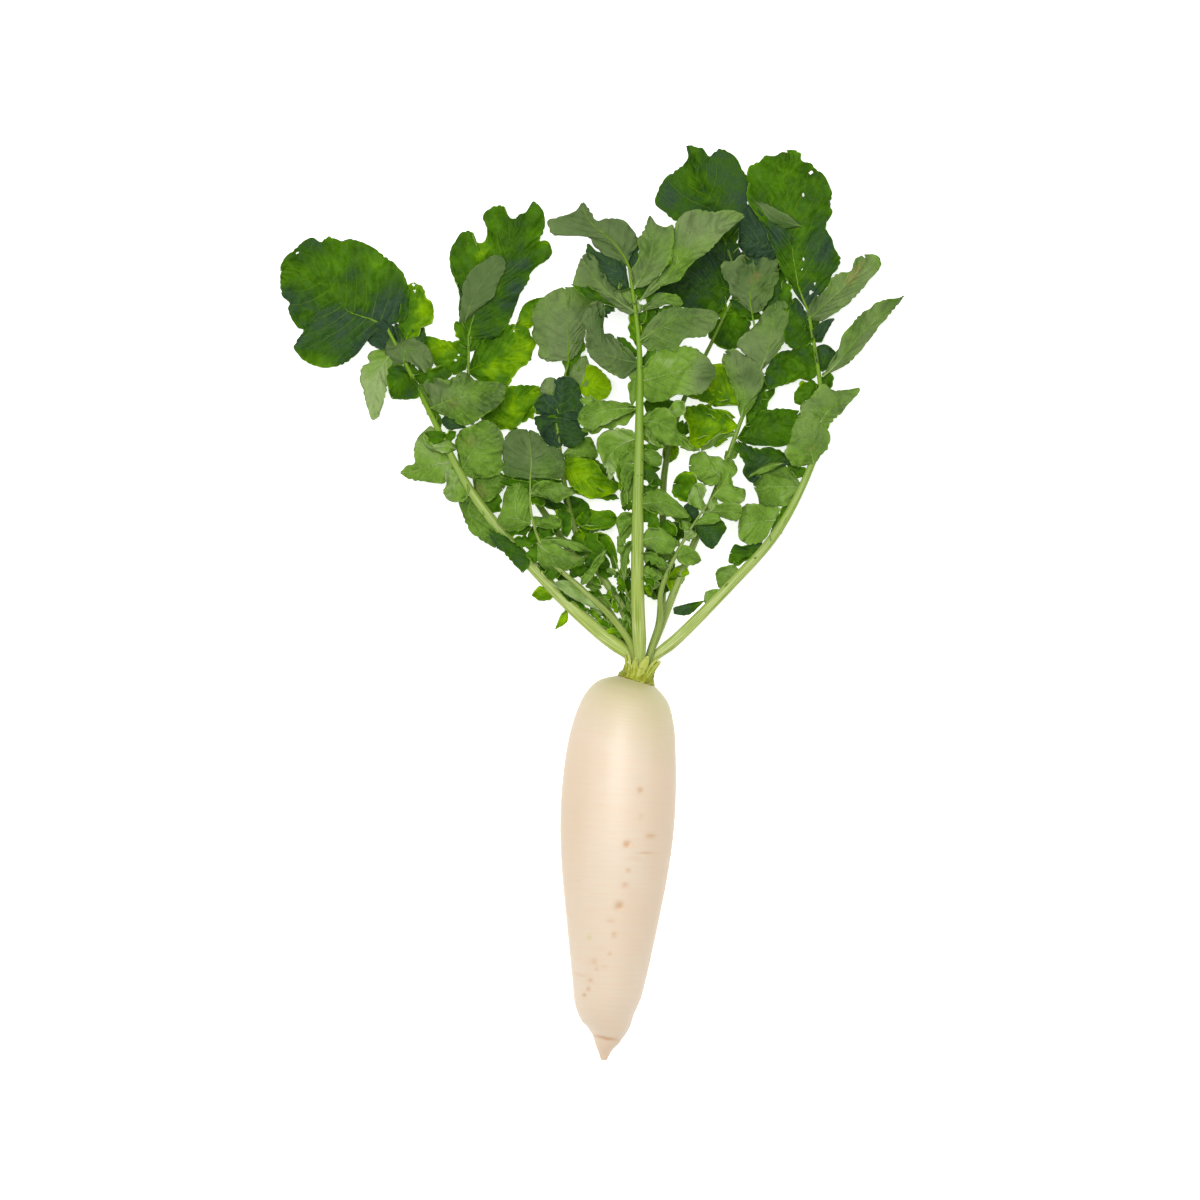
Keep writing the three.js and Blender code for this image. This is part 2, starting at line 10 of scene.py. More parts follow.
import bpy
import numpy as np
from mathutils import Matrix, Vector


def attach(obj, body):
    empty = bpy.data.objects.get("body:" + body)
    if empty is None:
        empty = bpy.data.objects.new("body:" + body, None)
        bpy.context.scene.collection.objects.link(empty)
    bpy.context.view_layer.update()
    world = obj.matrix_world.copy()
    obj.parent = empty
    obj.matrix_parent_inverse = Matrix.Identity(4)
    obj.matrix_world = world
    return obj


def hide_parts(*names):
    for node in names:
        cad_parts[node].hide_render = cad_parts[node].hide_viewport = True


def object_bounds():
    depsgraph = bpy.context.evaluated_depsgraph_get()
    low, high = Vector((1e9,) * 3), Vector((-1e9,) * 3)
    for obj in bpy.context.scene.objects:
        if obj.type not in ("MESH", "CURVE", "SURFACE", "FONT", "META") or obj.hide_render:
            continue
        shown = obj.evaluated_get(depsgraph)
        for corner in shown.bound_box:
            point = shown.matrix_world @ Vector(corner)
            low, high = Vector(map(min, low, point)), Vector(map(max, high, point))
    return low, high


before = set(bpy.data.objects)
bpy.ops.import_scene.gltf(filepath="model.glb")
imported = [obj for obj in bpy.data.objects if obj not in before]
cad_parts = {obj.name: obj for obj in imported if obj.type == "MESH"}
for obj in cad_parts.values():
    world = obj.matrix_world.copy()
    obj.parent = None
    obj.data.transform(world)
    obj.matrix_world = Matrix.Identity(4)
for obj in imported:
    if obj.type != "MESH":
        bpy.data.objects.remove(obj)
cad_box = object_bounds()

# ---- Driving dimensions, as in the CAD part ----

MM = 0.001
TAU = 2 * math.pi

# The root's stations from tail to shoulder: centre x, y, z, radius.
ROOT_STATIONS = np.array([
    [-0.9, -173.5, 29, 2.2],
    [-0.7, -168, 29.4, 4.5],
    [-0.4, -163, 29.8, 7.4],
    [0.5, -157.5, 30.2, 10.6],
    [0.8, -149, 30.8, 15.7],
    [-0.4, -140, 31.5, 20.1],
    [-0.9, -133, 32, 22.4],
    [-0.4, -118, 33.2, 25.2],
    [0, -79, 35.6, 31.3],
    [0, -44, 37.2, 36.3],
    [0, -19, 38, 38.6],
    [0, 10, 38.2, 39],
    [0.4, 38, 37.8, 37.2],
    [1.6, 55, 37.2, 34.8],
    [2.8, 64, 37, 32.6],
    [4.1, 70.5, 36.9, 30.3],
    [5.4, 76, 36.8, 27.2],
    [6.4, 80, 36.8, 23.6],
    [7.2, 83.2, 36.8, 18.7],
    [7.9, 86.1, 36.8, 12.9],
])

# The leaves lie in layers that start close together in the crown and spread to an even pitch.
LAYER_FOOT_HEIGHTS = [30, 36, 38.2, 43.5, 47]
LOWEST_LAYER_HEIGHT = 9.5
LAYER_PITCH = 17
LAYER_SPREAD_RADIUS = 150
CROWN_CENTRE = np.array([11.0, 97.0])
FOOT_LENGTH = 22
RIB_FLATNESS = 0.86
BLADE_THICKNESS = 0.5

# Each frond: how much duller its rib is than the outer ones, its layer, the radius of its foot, its girth
# (near the foot, at the tip, and how late it tapers), its droop (where it starts, where it is full, and by
# how much), and its rib in plan.
FRONDS = {
    "frond_top_centre": dict(
        shade=0, layer=4, foot=2.8, girth=(4.7, 0.8, 1.6), droop=(230, 330, 16),
        path=[(10, 93), (9.6, 101), (6, 141), (3, 200), (1, 263), (-2, 315), (-9, 356), (-24, 383),
              (-43, 405)],
    ),
    "frond_left": dict(
        shade=0, layer=2, foot=2.6, girth=(5.3, 0.8, 0.9), droop=(170, 290, 27),
        path=[(8.4, 94), (4, 101.6), (-18, 117), (-48, 142), (-90, 184), (-113, 212), (-136, 251),
              (-160, 294), (-175, 310), (-202, 331), (-222, 355), (-233, 374)],
    ),
    "frond_right": dict(
        shade=0, layer=2, foot=2.4, girth=(4.2, 0.8, 1), droop=(200, 300, 17),
        path=[(15, 94), (18.8, 102), (33, 115), (68, 154), (97, 190), (117, 232), (126, 266), (122, 297),
              (113, 340), (103, 371), (93, 415), (91, 454)],
    ),
    "frond_right_inner": dict(
        shade=0.3, layer=1, foot=1.9, girth=(3.1, 0.8, 1), droop=(230, 300, 4),
        path=[(14.4, 93), (15.4, 102), (23, 125), (35, 161), (53, 211), (68, 260), (81, 305), (81, 342),
              (62, 378)],
    ),
    "frond_young_right": dict(
        shade=0.45, layer=3, foot=1.8, girth=(2.3, 0.7, 1), droop=(200, 300, 0),
        path=[(15, 93), (16, 102), (19, 114), (21.8, 124), (22.2, 134), (21.2, 143), (24, 157),
              (39, 190), (54, 216), (59, 244)],
    ),
    "frond_young_left": dict(
        shade=0.35, layer=3, foot=1.8, girth=(2.6, 0.7, 1), droop=(200, 300, 0),
        path=[(6.4, 93), (6, 101), (2, 112), (-5.5, 122), (-15, 132), (-33, 147), (-57, 168), (-69, 195),
              (-71, 222), (-77, 253)],
    ),
    "frond_back_left": dict(
        shade=0.5, layer=1, foot=1.9, girth=(3.2, 0.8, 1), droop=(220, 300, 4),
        path=[(8, 93), (7.6, 101), (-4, 134), (-37, 182), (-52, 240), (-55, 270), (-49, 300), (-52, 322),
              (-66, 350)],
    ),
    "frond_back_right": dict(
        shade=0.5, layer=0, foot=1.9, girth=(3.1, 0.8, 1), droop=(230, 300, 0),
        path=[(14.4, 93), (15.6, 102), (21.6, 124), (22.4, 140), (21, 182), (20, 230), (28, 271),
              (51, 327), (62, 358), (56, 388), (31, 447)],
    ),
    "frond_back_far_left": dict(
        shade=0.4, layer=0, foot=1.9, girth=(3.2, 0.8, 1), droop=(230, 300, 0),
        path=[(7.2, 93), (6.4, 101), (-19, 140), (-47, 179), (-93, 241), (-114, 276), (-118, 306),
              (-110, 338), (-86, 405)],
    ),
    "frond_young_centre": dict(
        shade=0.5, layer=2, foot=1.6, girth=(1.8, 0.6, 1), droop=(200, 300, 0),
        path=[(10.8, 93), (10.8, 101), (5, 127), (-3, 149), (-12, 170)],
    ),
}

# How a blade lies, in mm and slopes: arch lifts the middle of its midvein, fold is the slope of each half
# away from the midvein, tilt the slope from its right margin up to its left, cup lifts the margins, wave
# ripples them, and crumple is the height of its wrinkles. A draped blade is lifted from its base on, over
# its frond's rib.
FORMS = {
    "flat": dict(arch=1.5, fold=0.05, tilt=0, cup=0, wave=2.4, crumple=2.6),
    "dome": dict(arch=3, fold=-0.14, tilt=0, cup=-3.5, wave=2.8, crumple=2.8),
    "dish": dict(arch=-1.5, fold=0.2, tilt=0, cup=3.0, wave=3.0, crumple=2.8),
    "crumpled": dict(arch=1.5, fold=0.08, tilt=0, cup=0, wave=3.4, crumple=5),
    "ruffled": dict(arch=1.5, fold=0.12, tilt=0, cup=0, wave=4.4, crumple=3.2),
    "valley": dict(arch=0, fold=0.5, tilt=0, cup=0, wave=2.8, crumple=2.6),
    "ridge": dict(arch=2, fold=-0.45, tilt=0, cup=0, wave=2.4, crumple=2.6),
    "left_up": dict(arch=1.5, fold=-0.14, tilt=0.4, cup=0, wave=2.8, crumple=2.8),
    "right_up": dict(arch=1.5, fold=-0.14, tilt=-0.4, cup=0, wave=2.8, crumple=2.8),
    "draped": dict(arch=2, fold=-0.08, tilt=0, cup=0, wave=3.2, crumple=3.6),
}

# The side of a blade that faces up.
UPPER = 1
UNDER = -1

# The blades that stand out: which side faces up, tone from -1 (dull) to 1 (lit through), lift in its layer,
# form, midvein from base to tip, and margin from the base round by the tip and back. Midvein and margin are
# plan points, x and y in turn. Besides the blade's own shade of green, the tone holds painted shade where it
# lies in shadow and painted light where it looks brighter.
BLADES = {
    "frond_top_centre": [
        (UNDER, -0.55, 2, "ridge", [-11, 366, -14, 372, -20, 380, -29, 388, -37, 394, -42, 400, -45, 408],
         [-16, 371, -22, 372, -30, 375, -35, 379, -38, 384, -44, 388, -53, 389, -64, 386, -66, 388,
          -68, 395, -62, 398, -53, 401, -48, 405, -45, 410, -40, 404, -34, 397, -28, 399, -16, 398,
          -10, 392, -6, 385, -7, 380, -12, 376, -12, 370]),
        (UNDER, -0.25, 0, "valley", [-7, 353, -2, 361, 2, 372, 4, 386, 1, 402],
         [-8, 358, -10, 365, -6, 371, -5, 378, -6, 386, -3, 391, -1, 397, 1, 403, 5, 398, 12, 395,
          17, 397, 18, 390, 18, 380, 16, 372, 11, 364, 4, 357, -2, 353]),
        (UNDER, -0.1, -2, "ruffled", [-3, 344, 4, 352, 14, 361, 24, 374, 36, 388, 50, 398, 64, 405],
         [4, 358, 10, 362, 17, 372, 18, 386, 19, 398, 23, 404, 30, 408, 45, 407, 55, 409, 66, 406,
          58, 398, 50, 390, 43, 381, 33, 373, 28, 367, 24, 360, 14, 357, 6, 350]),
        (UNDER, -0.1, -4, "crumpled", [-3, 337, 6, 342, 14, 346, 25, 345],
         [4, 343, 8, 350, 16, 350, 23, 349, 27, 344, 24, 341, 16, 343, 9, 340]),
        (UNDER, -0.35, 1, "left_up", [-3, 316, 8, 324, 18, 331, 28, 334, 40, 336, 51, 338],
         [0, 321, 3, 328, 6, 332, 12, 338, 20, 341, 30, 341, 38, 341, 47, 340, 52, 337, 50, 332, 47, 326,
          42, 322, 35, 321, 29, 320, 26, 316, 24, 311, 18, 310, 10, 310, 5, 311, 1, 315]),
        (UNDER, 0.35, -2, "dome", [-1, 289, 12, 293, 25, 297, 40, 299, 50, 299],
         [1, 297, 5, 305, 12, 311, 22, 314, 32, 315, 40, 312, 46, 307, 51, 301, 50, 294, 46, 287,
          42, 283, 34, 282, 24, 281, 20, 278, 8, 276, 2, 280]),
        (UNDER, 0.15, 0, "crumpled", [1, 262, 12, 262, 22, 258, 34, 249, 43, 245],
         [5, 268, 11, 271, 16, 273, 21, 271, 26, 266, 27, 258, 34, 252, 38, 247, 44, 245, 38, 244,
          30, 247, 24, 247, 16, 248, 9, 253, 5, 259]),
        (UNDER, 0.2, -2, "dish", [22, 268, 26, 272, 29, 277],
         [21, 272, 25, 278, 31, 277, 32, 270, 26, 266]),
        (UNDER, -0.2, -3, "crumpled", [2, 240, 8, 240, 17, 238],
         [6, 244, 13, 243, 18, 239, 17, 233, 10, 233, 5, 236]),
        (UNDER, 0.1, 0, "dome", [4, 206, 18, 208, 30, 204, 38, 199],
         [6, 212, 10, 216, 18, 217, 26, 212, 32, 207, 37, 202, 39, 199, 32, 198, 22, 199, 12, 201, 7, 203]),
        (UNDER, 0, -2, "dome", [5, 181, 18, 184, 29, 179],
         [8, 186, 12, 191, 18, 191, 24, 188, 29, 183, 30, 178, 28, 174, 22, 173, 14, 175, 9, 177]),
        (UNDER, -0.3, 1, "ridge", [-5, 336, -20, 345, -32, 356, -43, 370],
         [-9, 334, -18, 338, -25, 343, -33, 349, -40, 352, -48, 351, -48, 358, -46, 366, -44, 372,
          -40, 375, -35, 373, -31, 366, -25, 357, -17, 349, -10, 341]),
        (UPPER, -0.7, -6, "crumpled", [-10, 352, -22, 364, -36, 378],
         [-16, 350, -26, 352, -36, 364, -41, 376, -40, 381, -35, 376, -28, 375, -22, 374, -15, 370,
          -12, 360]),
        (UNDER, -0.35, -3, "ruffled", [-1, 302, -15, 304, -25, 308, -33, 318, -35, 330, -33, 338],
         [-6, 295, -11, 291, -18, 293, -27, 298, -34, 304, -38, 312, -38, 322, -41, 330, -38, 339,
          -31, 343, -26, 338, -27, 328, -26, 321, -22, 321, -18, 318, -12, 313, -7, 310]),
        (UNDER, 0.1, 0, "left_up", [0, 271, -15, 270, -28, 266, -40, 262],
         [-5, 268, -12, 265, -20, 260, -27, 257, -30, 254, -35, 256, -40, 259, -41, 263, -39, 268,
          -36, 272, -30, 275, -22, 275, -12, 275, -5, 274]),
        (UNDER, 0.15, -2, "right_up", [1, 251, -12, 245, -18, 236, -17, 225],
         [-2, 244, -8, 238, -11, 233, -14, 226, -17, 221, -20, 229, -24, 236, -27, 243, -26, 251,
          -20, 255, -12, 257, -3, 256]),
        (UNDER, -0.1, -1, "valley", [2, 232, -6, 224, -7, 207],
         [-2, 226, -4, 214, -4, 205, -7, 203, -9, 210, -9, 218, -10, 226, -8, 233, -3, 234]),
        (UNDER, 0, -2, "valley", [3, 197, -5, 194, -8, 184],
         [-1, 192, -4, 189, -8, 182, -10, 188, -11, 195, -7, 200, -1, 200]),
        (UNDER, -0.1, -3, "valley", [3, 181, -3, 176, -5, 166, -4, 154],
         [-1, 174, -2, 166, -3, 158, -4, 153, -6, 160, -7, 168, -6, 175, -2, 181]),
    ],
    "frond_left": [
        (UPPER, 0.1, 3, "flat",
         [-174, 318, -184, 322, -200, 327, -211, 337, -222, 346, -235, 351, -247, 353],
         [-184, 315, -187, 310, -192, 300, -199, 293, -211, 288, -222, 289, -230, 293, -236, 300,
          -230, 313, -234, 314, -241, 325, -241, 331, -246, 336, -248, 350, -247, 359, -240, 366,
          -233, 373, -227, 376, -222, 373, -216, 377, -207, 374, -204, 376, -192, 374, -184, 370,
          -177, 365, -168, 359, -163, 352, -160, 342, -160, 330, -163, 321]),
        (UPPER, 0.45, -1, "flat", [-160, 310, -156, 325, -154, 346],
         [-166, 318, -165, 335, -161, 347, -156, 349, -150, 345, -148, 339, -144, 336, -143, 322,
          -149, 319, -152, 312]),
        (UPPER, -0.9, -4, "valley", [-163, 304, -175, 307, -185, 312],
         [-170, 303, -177, 302, -187, 308, -186, 313, -178, 322, -168, 318]),
        (UPPER, -0.8, -2, "flat", [-158, 300, -153, 310, -150, 322],
         [-162, 308, -160, 318, -156, 324, -150, 322, -147, 314, -148, 308, -152, 302]),
        (UNDER, -0.5, 4, "ridge", [-161, 293, -160, 302, -150, 302, -142, 294],
         [-168, 290, -173, 293, -172, 310, -165, 311, -155, 311, -145, 305, -140, 295, -144, 288,
          -149, 289, -152, 292, -157, 296]),
        (UNDER, 0.95, 1, "ridge", [-168, 302, -176, 290, -179, 274, -178, 256],
         [-176, 303, -184, 300, -186, 296, -184, 293, -189, 290, -190, 282, -187, 272, -184, 262,
          -180, 254, -176, 256, -173, 268, -171, 280, -169, 292]),
        (UPPER, 0, -4, "valley", [-157, 287, -163, 280, -167, 271],
         [-162, 293, -171, 290, -171, 277, -168, 269, -158, 269, -150, 271, -150, 279]),
        (UNDER, -0.25, -1, "crumpled", [-141, 264, -128, 270, -112, 274, -93, 276],
         [-142, 272, -147, 280, -141, 285, -130, 284, -122, 289, -117, 289, -113, 285, -100, 284,
          -92, 283, -91, 274, -96, 267, -103, 262, -108, 258, -113, 254, -120, 254, -128, 258, -136, 261]),
        (UPPER, -0.8, -4, "flat", [-134, 256, -126, 254, -118, 252],
         [-131, 260, -122, 256, -116, 252, -121, 251, -128, 250, -132, 253]),
        (UNDER, -0.1, 0, "crumpled", [-119, 221, -113, 233, -104, 246, -98, 256],
         [-120, 230, -123, 240, -121, 249, -112, 254, -104, 258, -97, 256, -92, 250, -90, 243, -91, 235,
          -90, 225, -93, 221, -100, 219, -108, 218, -112, 218]),
        (UNDER, -0.15, -2, "crumpled", [-108, 207, -102, 212, -91, 214],
         [-109, 213, -110, 219, -104, 218, -97, 221, -90, 222, -86, 218, -89, 211, -93, 207, -98, 203,
          -102, 202, -106, 204]),
        (UNDER, 0.35, -1, "ridge", [-122, 228, -136, 226, -148, 221, -159, 219],
         [-127, 220, -129, 214, -134, 213, -142, 214, -152, 215, -160, 219, -155, 224, -150, 227,
          -151, 234, -150, 241, -146, 247, -140, 252, -136, 247, -136, 240, -129, 237]),
        (UPPER, -0.2, 3, "valley", [-131, 243, -137, 245, -143, 246],
         [-130, 248, -137, 249, -145, 247, -143, 241, -139, 238, -134, 240, -130, 242]),
        (UNDER, 0.4, 6, "ridge", [-122, 237, -129, 239, -136, 238, -144, 246],
         [-122, 239, -129, 243, -135, 240, -139, 239, -143, 243, -145, 248, -145, 242, -141, 237,
          -135, 235, -130, 234, -125, 235]),
        (UNDER, 0.6, -2, "crumpled", [-117, 219, -123, 214, -128, 207],
         [-121, 222, -127, 227, -129, 219, -128, 212, -130, 208, -128, 204, -121, 201, -114, 203,
          -112, 212]),
        (UNDER, -0.15, -3, "left_up", [-109, 206, -112, 196, -104, 184, -90, 174],
         [-115, 206, -119, 202, -116, 194, -113, 187, -108, 180, -100, 175, -92, 171, -86, 172, -86, 177,
          -93, 184, -101, 194, -105, 202]),
        (UPPER, -0.3, 7, "draped", [-97, 182, -88, 176, -79, 166, -73, 157],
         [-96, 178, -91, 172, -86, 168, -79, 161, -73, 155, -70, 158, -69, 163, -71, 169, -76, 173,
          -83, 178, -91, 182, -98, 184]),
        (UPPER, 0.8, -2, "flat", [-50, 142, -57, 142, -65, 140],
         [-53, 143, -58, 146, -61, 147, -64, 144, -66, 140, -60, 137, -53, 138]),
        (UPPER, 0.7, -2, "flat", [-41, 134, -43, 128, -48, 119],
         [-43, 130, -45, 129, -47, 124, -49, 118, -44, 121, -41, 124, -41, 129]),
    ],
    "frond_right": [
        (UPPER, -0.05, 3, "flat", [112, 343, 105, 358, 101, 374, 98, 390, 94, 410, 92, 430, 93, 450],
         [106, 350, 99, 360, 92, 370, 88, 380, 83, 390, 80, 398, 74, 406, 68, 414, 66, 420, 67, 428,
          65, 433, 68, 440, 74, 443, 77, 447, 83, 447, 90, 451, 96, 452, 101, 450, 102, 446, 109, 443,
          113, 439, 117, 437, 121, 431, 124, 424, 123, 416, 125, 412, 122, 405, 121, 400, 126, 392,
          128, 386, 132, 380, 131, 374, 127, 369, 126, 363, 122, 358, 117, 351]),
        (UPPER, -1.1, -2, "ruffled", [97, 382, 85, 386, 62, 388],
         [92, 376, 80, 378, 70, 379, 62, 384, 62, 396, 65, 410, 70, 415, 77, 408, 86, 402, 97, 396,
          99, 388]),
        (UNDER, -1, 9, "flat", [107, 400, 90, 404, 73, 415],
         [98, 398, 90, 399, 83, 403, 77, 410, 72, 416, 78, 415, 85, 412, 92, 409, 100, 405]),
        (UNDER, -0.1, 1, "left_up", [112, 337, 125, 350, 138, 364, 150, 380],
         [112, 346, 117, 354, 124, 359, 126, 365, 130, 369, 136, 371, 140, 372, 142, 380, 147, 383,
          153, 384, 158, 382, 160, 378, 158, 373, 153, 367, 148, 360, 142, 353, 135, 346, 128, 341,
          121, 336]),
        (UNDER, 0.1, 0, "left_up", [124, 299, 132, 307, 141, 319, 152, 333, 165, 346, 176, 357],
         [129, 309, 132, 315, 135, 321, 136, 328, 141, 334, 146, 341, 152, 346, 158, 351, 166, 354,
          173, 355, 177, 357, 172, 350, 166, 342, 160, 334, 154, 325, 148, 317, 142, 310, 135, 305]),
        (UPPER, -0.8, -3, "dish", [119, 304, 124, 310, 129, 318],
         [119, 312, 119, 319, 125, 321, 130, 318, 133, 315, 130, 308, 124, 302]),
        (UPPER, -0.8, -3, "valley", [117, 322, 123, 330, 130, 338],
         [115, 330, 120, 335, 125, 338, 130, 339, 127, 333, 122, 322]),
        (UPPER, -0.4, -3, "ruffled", [122, 303, 108, 306, 96, 303, 86, 298],
         [119, 298, 114, 296, 108, 296, 101, 293, 95, 291, 89, 289, 85, 293, 84, 298, 87, 305, 91, 312,
          96, 315, 102, 316, 108, 319, 115, 321, 119, 314]),
        (UPPER, -0.45, -4, "flat", [116, 330, 108, 333, 98, 340],
         [117, 323, 110, 318, 104, 317, 98, 320, 96, 327, 99, 335, 98, 345, 103, 352, 108, 346, 113, 338]),
        (UNDER, 0.1, 5, "draped", [124, 268, 130, 277, 140, 285, 149, 292],
         [117, 268, 111, 272, 110, 279, 116, 284, 121, 291, 126, 294, 131, 290, 135, 290, 141, 291,
          150, 293, 149, 289, 144, 283, 138, 275, 132, 269, 129, 263]),
        (UNDER, 0, 6, "draped", [121, 240, 118, 250, 114, 260, 111, 271],
         [115, 238, 108, 237, 102, 243, 101, 248, 104, 254, 105, 262, 108, 270, 113, 275, 121, 273,
          128, 266, 131, 258, 130, 251, 125, 245, 123, 241]),
        (UNDER, 0, 0, "dome", [114, 223, 100, 223, 84, 221],
         [112, 216, 108, 212, 102, 210, 93, 209, 86, 210, 84, 216, 81, 222, 79, 229, 90, 234, 100, 238,
          105, 235, 110, 230]),
        (UNDER, 0.2, 5, "ridge", [101, 239, 90, 236, 78, 229],
         [96, 235, 88, 232, 77, 228, 82, 233, 90, 238, 98, 240]),
        (UPPER, -0.5, -3, "ruffled", [108, 240, 95, 243, 80, 240, 70, 250],
         [103, 238, 95, 235, 86, 230, 82, 224, 77, 226, 73, 231, 74, 237, 70, 243, 66, 249, 68, 253,
          75, 250, 82, 248, 90, 249, 96, 248, 102, 245]),
        (UNDER, 0.4, 1, "flat", [97, 200, 85, 198, 74, 195],
         [93, 192, 90, 186, 84, 183, 77, 183, 73, 186, 72, 192, 72, 200, 73, 206, 77, 210, 84, 210,
          92, 209, 99, 209, 99, 204]),
        (UPPER, -0.2, -1, "ruffled", [88, 178, 78, 178, 69, 176],
         [85, 173, 77, 173, 72, 170, 67, 169, 67, 176, 70, 182, 75, 181, 82, 184, 89, 185]),
        (UNDER, -0.1, -1, "ruffled", [70, 160, 65, 162, 59, 160],
         [66, 154, 61, 152, 59, 157, 58, 162, 60, 165, 65, 167, 70, 168, 74, 165]),
        (UNDER, 0.1, -1, "flat", [60, 145, 56, 147, 52, 147],
         [57, 142, 52, 141, 51, 145, 52, 149, 57, 151, 62, 151]),
        (UPPER, -0.5, -3, "ridge", [52, 143, 43, 138, 32, 134],
         [47, 138, 42, 133, 36, 132, 31, 133, 31, 137, 37, 139, 43, 141]),
    ],
    "frond_right_inner": [
        (UNDER, -0.45, 3, "crumpled", [74, 339, 72, 350, 74, 362, 73, 376],
         [70, 345, 64, 347, 59, 351, 57, 358, 53, 364, 51, 370, 53, 374, 59, 374, 63, 378, 67, 379,
          70, 376, 76, 377, 81, 378, 87, 379, 90, 376, 90, 370, 91, 364, 88, 358, 87, 352, 83, 346,
          80, 341]),
        (UNDER, -0.3, 4, "draped", [81, 300, 86, 315, 88, 332, 90, 348],
         [76, 306, 70, 312, 65, 317, 67, 323, 73, 328, 78, 334, 83, 343, 88, 347, 94, 350, 99, 344,
          100, 335, 98, 325, 95, 318, 91, 312, 87, 306]),
        (UNDER, -0.1, 4, "draped", [70, 268, 72, 283, 67, 298, 59, 311],
         [68, 274, 65, 284, 61, 292, 58, 300, 55, 306, 56, 312, 62, 315, 70, 311, 80, 305, 84, 298,
          83, 290, 80, 282, 75, 272]),
        (UPPER, 0.55, -3, "flat", [71, 276, 60, 282, 50, 288, 42, 297],
         [62, 277, 58, 276, 52, 275, 46, 277, 40, 280, 42, 288, 42, 297, 48, 303, 56, 304, 62, 296,
          66, 286]),
        (UPPER, 0.5, -2, "dish", [69, 262, 55, 264, 42, 266, 32, 271],
         [64, 258, 56, 256, 50, 252, 46, 248, 40, 250, 36, 254, 34, 262, 31, 268, 32, 274, 38, 275,
          44, 276, 50, 273, 57, 272, 63, 268]),
        (UNDER, 0, 0, "ridge", [68, 257, 58, 257, 50, 251, 44, 246],
         [64, 255, 58, 253, 52, 248, 44, 244, 47, 249, 52, 254, 58, 259, 64, 260]),
        (UPPER, 0.15, -3, "flat", [68, 254, 80, 259, 92, 265, 107, 271],
         [72, 262, 77, 267, 81, 272, 90, 275, 100, 276, 110, 275, 112, 268, 110, 260, 108, 253, 98, 250,
          88, 250, 80, 250, 72, 251]),
    ],
    "frond_young_right": [
        (UNDER, 0.05, 1, "ruffled", [54, 214, 60, 222, 64, 232, 64, 240],
         [56, 220, 58, 228, 58, 236, 62, 241, 67, 238, 69, 232, 66, 226, 69, 220, 75, 220, 75, 212,
          70, 209, 62, 210, 58, 211]),
        (UNDER, 0, 0, "dome", [60, 226, 52, 232, 40, 234],
         [56, 222, 50, 221, 44, 224, 38, 228, 36, 234, 37, 240, 41, 243, 46, 244, 50, 241, 58, 241,
          61, 234]),
        (UPPER, 0.3, -3, "dish", [46, 208, 40, 216, 31, 222],
         [41, 210, 36, 209, 30, 211, 26, 214, 26, 221, 29, 227, 34, 230, 40, 229, 43, 222, 45, 214]),
        (UNDER, 0.1, 0, "ruffled", [47, 203, 44, 210, 43, 220],
         [42, 206, 37, 209, 37, 215, 40, 221, 45, 223, 49, 218, 47, 212, 50, 206]),
        (UPPER, -0.9, -4, "flat", [44, 199, 39, 203, 36, 206],
         [42, 198, 37, 201, 34, 206, 38, 209, 43, 207, 45, 202]),
        (UNDER, 0.05, 1, "left_up", [47, 202, 58, 204, 72, 204],
         [52, 205, 58, 209, 65, 210, 73, 209, 74, 203, 71, 198, 64, 199, 58, 200, 52, 200]),
        (UPPER, -0.6, -2, "ridge", [42, 194, 52, 190, 56, 180],
         [43, 189, 48, 183, 54, 178, 58, 181, 61, 187, 64, 193, 60, 198, 54, 197, 47, 197]),
        (UNDER, 0.1, 2, "flat", [41, 194, 50, 198, 60, 199],
         [44, 197, 50, 202, 58, 202, 60, 198, 54, 195, 47, 194]),
        (UNDER, -0.05, 0, "left_up", [30, 172, 38, 174, 48, 170],
         [32, 176, 36, 180, 41, 178, 45, 175, 48, 170, 44, 167, 38, 166, 33, 168]),
        (UNDER, -0.05, -1, "dome", [30, 172, 24, 174, 17, 172],
         [28, 169, 22, 169, 17, 171, 20, 176, 26, 177, 30, 175]),
    ],
    "frond_young_left": [
        (UNDER, -0.75, 1, "dome", [-71, 219, -71, 232, -74, 251],
         [-76, 220, -83, 220, -89, 222, -90, 232, -91, 240, -89, 248, -84, 252, -74, 253, -68, 251,
          -62, 245, -60, 242, -55, 242, -50, 238, -48, 230, -49, 222, -55, 219, -62, 221, -67, 221]),
        (UNDER, 0, 0, "dome", [-69, 189, -78, 192, -80, 204, -78, 216],
         [-73, 186, -80, 182, -87, 185, -92, 190, -90, 196, -89, 202, -88, 209, -85, 215, -80, 217,
          -74, 215, -71, 208, -70, 198]),
        (UNDER, -0.1, 0, "crumpled", [-71, 209, -60, 213, -48, 211, -41, 212],
         [-69, 215, -62, 219, -55, 218, -46, 216, -40, 211, -46, 208, -52, 204, -57, 206, -64, 208]),
        (UNDER, -0.05, 0, "crumpled", [-67, 188, -60, 190, -50, 191],
         [-68, 194, -62, 194, -55, 196, -50, 194, -49, 188, -55, 186, -62, 187]),
        (UNDER, 0, 2, "dome", [-64, 176, -56, 170, -44, 168, -31, 168],
         [-64, 169, -62, 162, -56, 158, -50, 156, -45, 158, -38, 160, -33, 163, -30, 167, -35, 169,
          -40, 171, -46, 173, -53, 177, -60, 179]),
        (UNDER, -0.1, -1, "ridge", [-62, 178, -46, 179, -27, 172],
         [-54, 176, -45, 174, -36, 172, -26, 172, -32, 176, -40, 179, -50, 181, -58, 181]),
        (UNDER, 0.7, 0, "left_up", [-20, 133, -33, 144, -50, 149],
         [-27, 135, -34, 138, -42, 142, -52, 149, -45, 152, -37, 151, -30, 147, -24, 141]),
    ],
    "frond_back_left": [
        (UNDER, 0, 2, "dome", [-49, 300, -50, 312, -51, 328, -53, 349],
         [-55, 304, -58, 301, -64, 300, -70, 304, -70, 310, -73, 313, -75, 318, -74, 324, -76, 330,
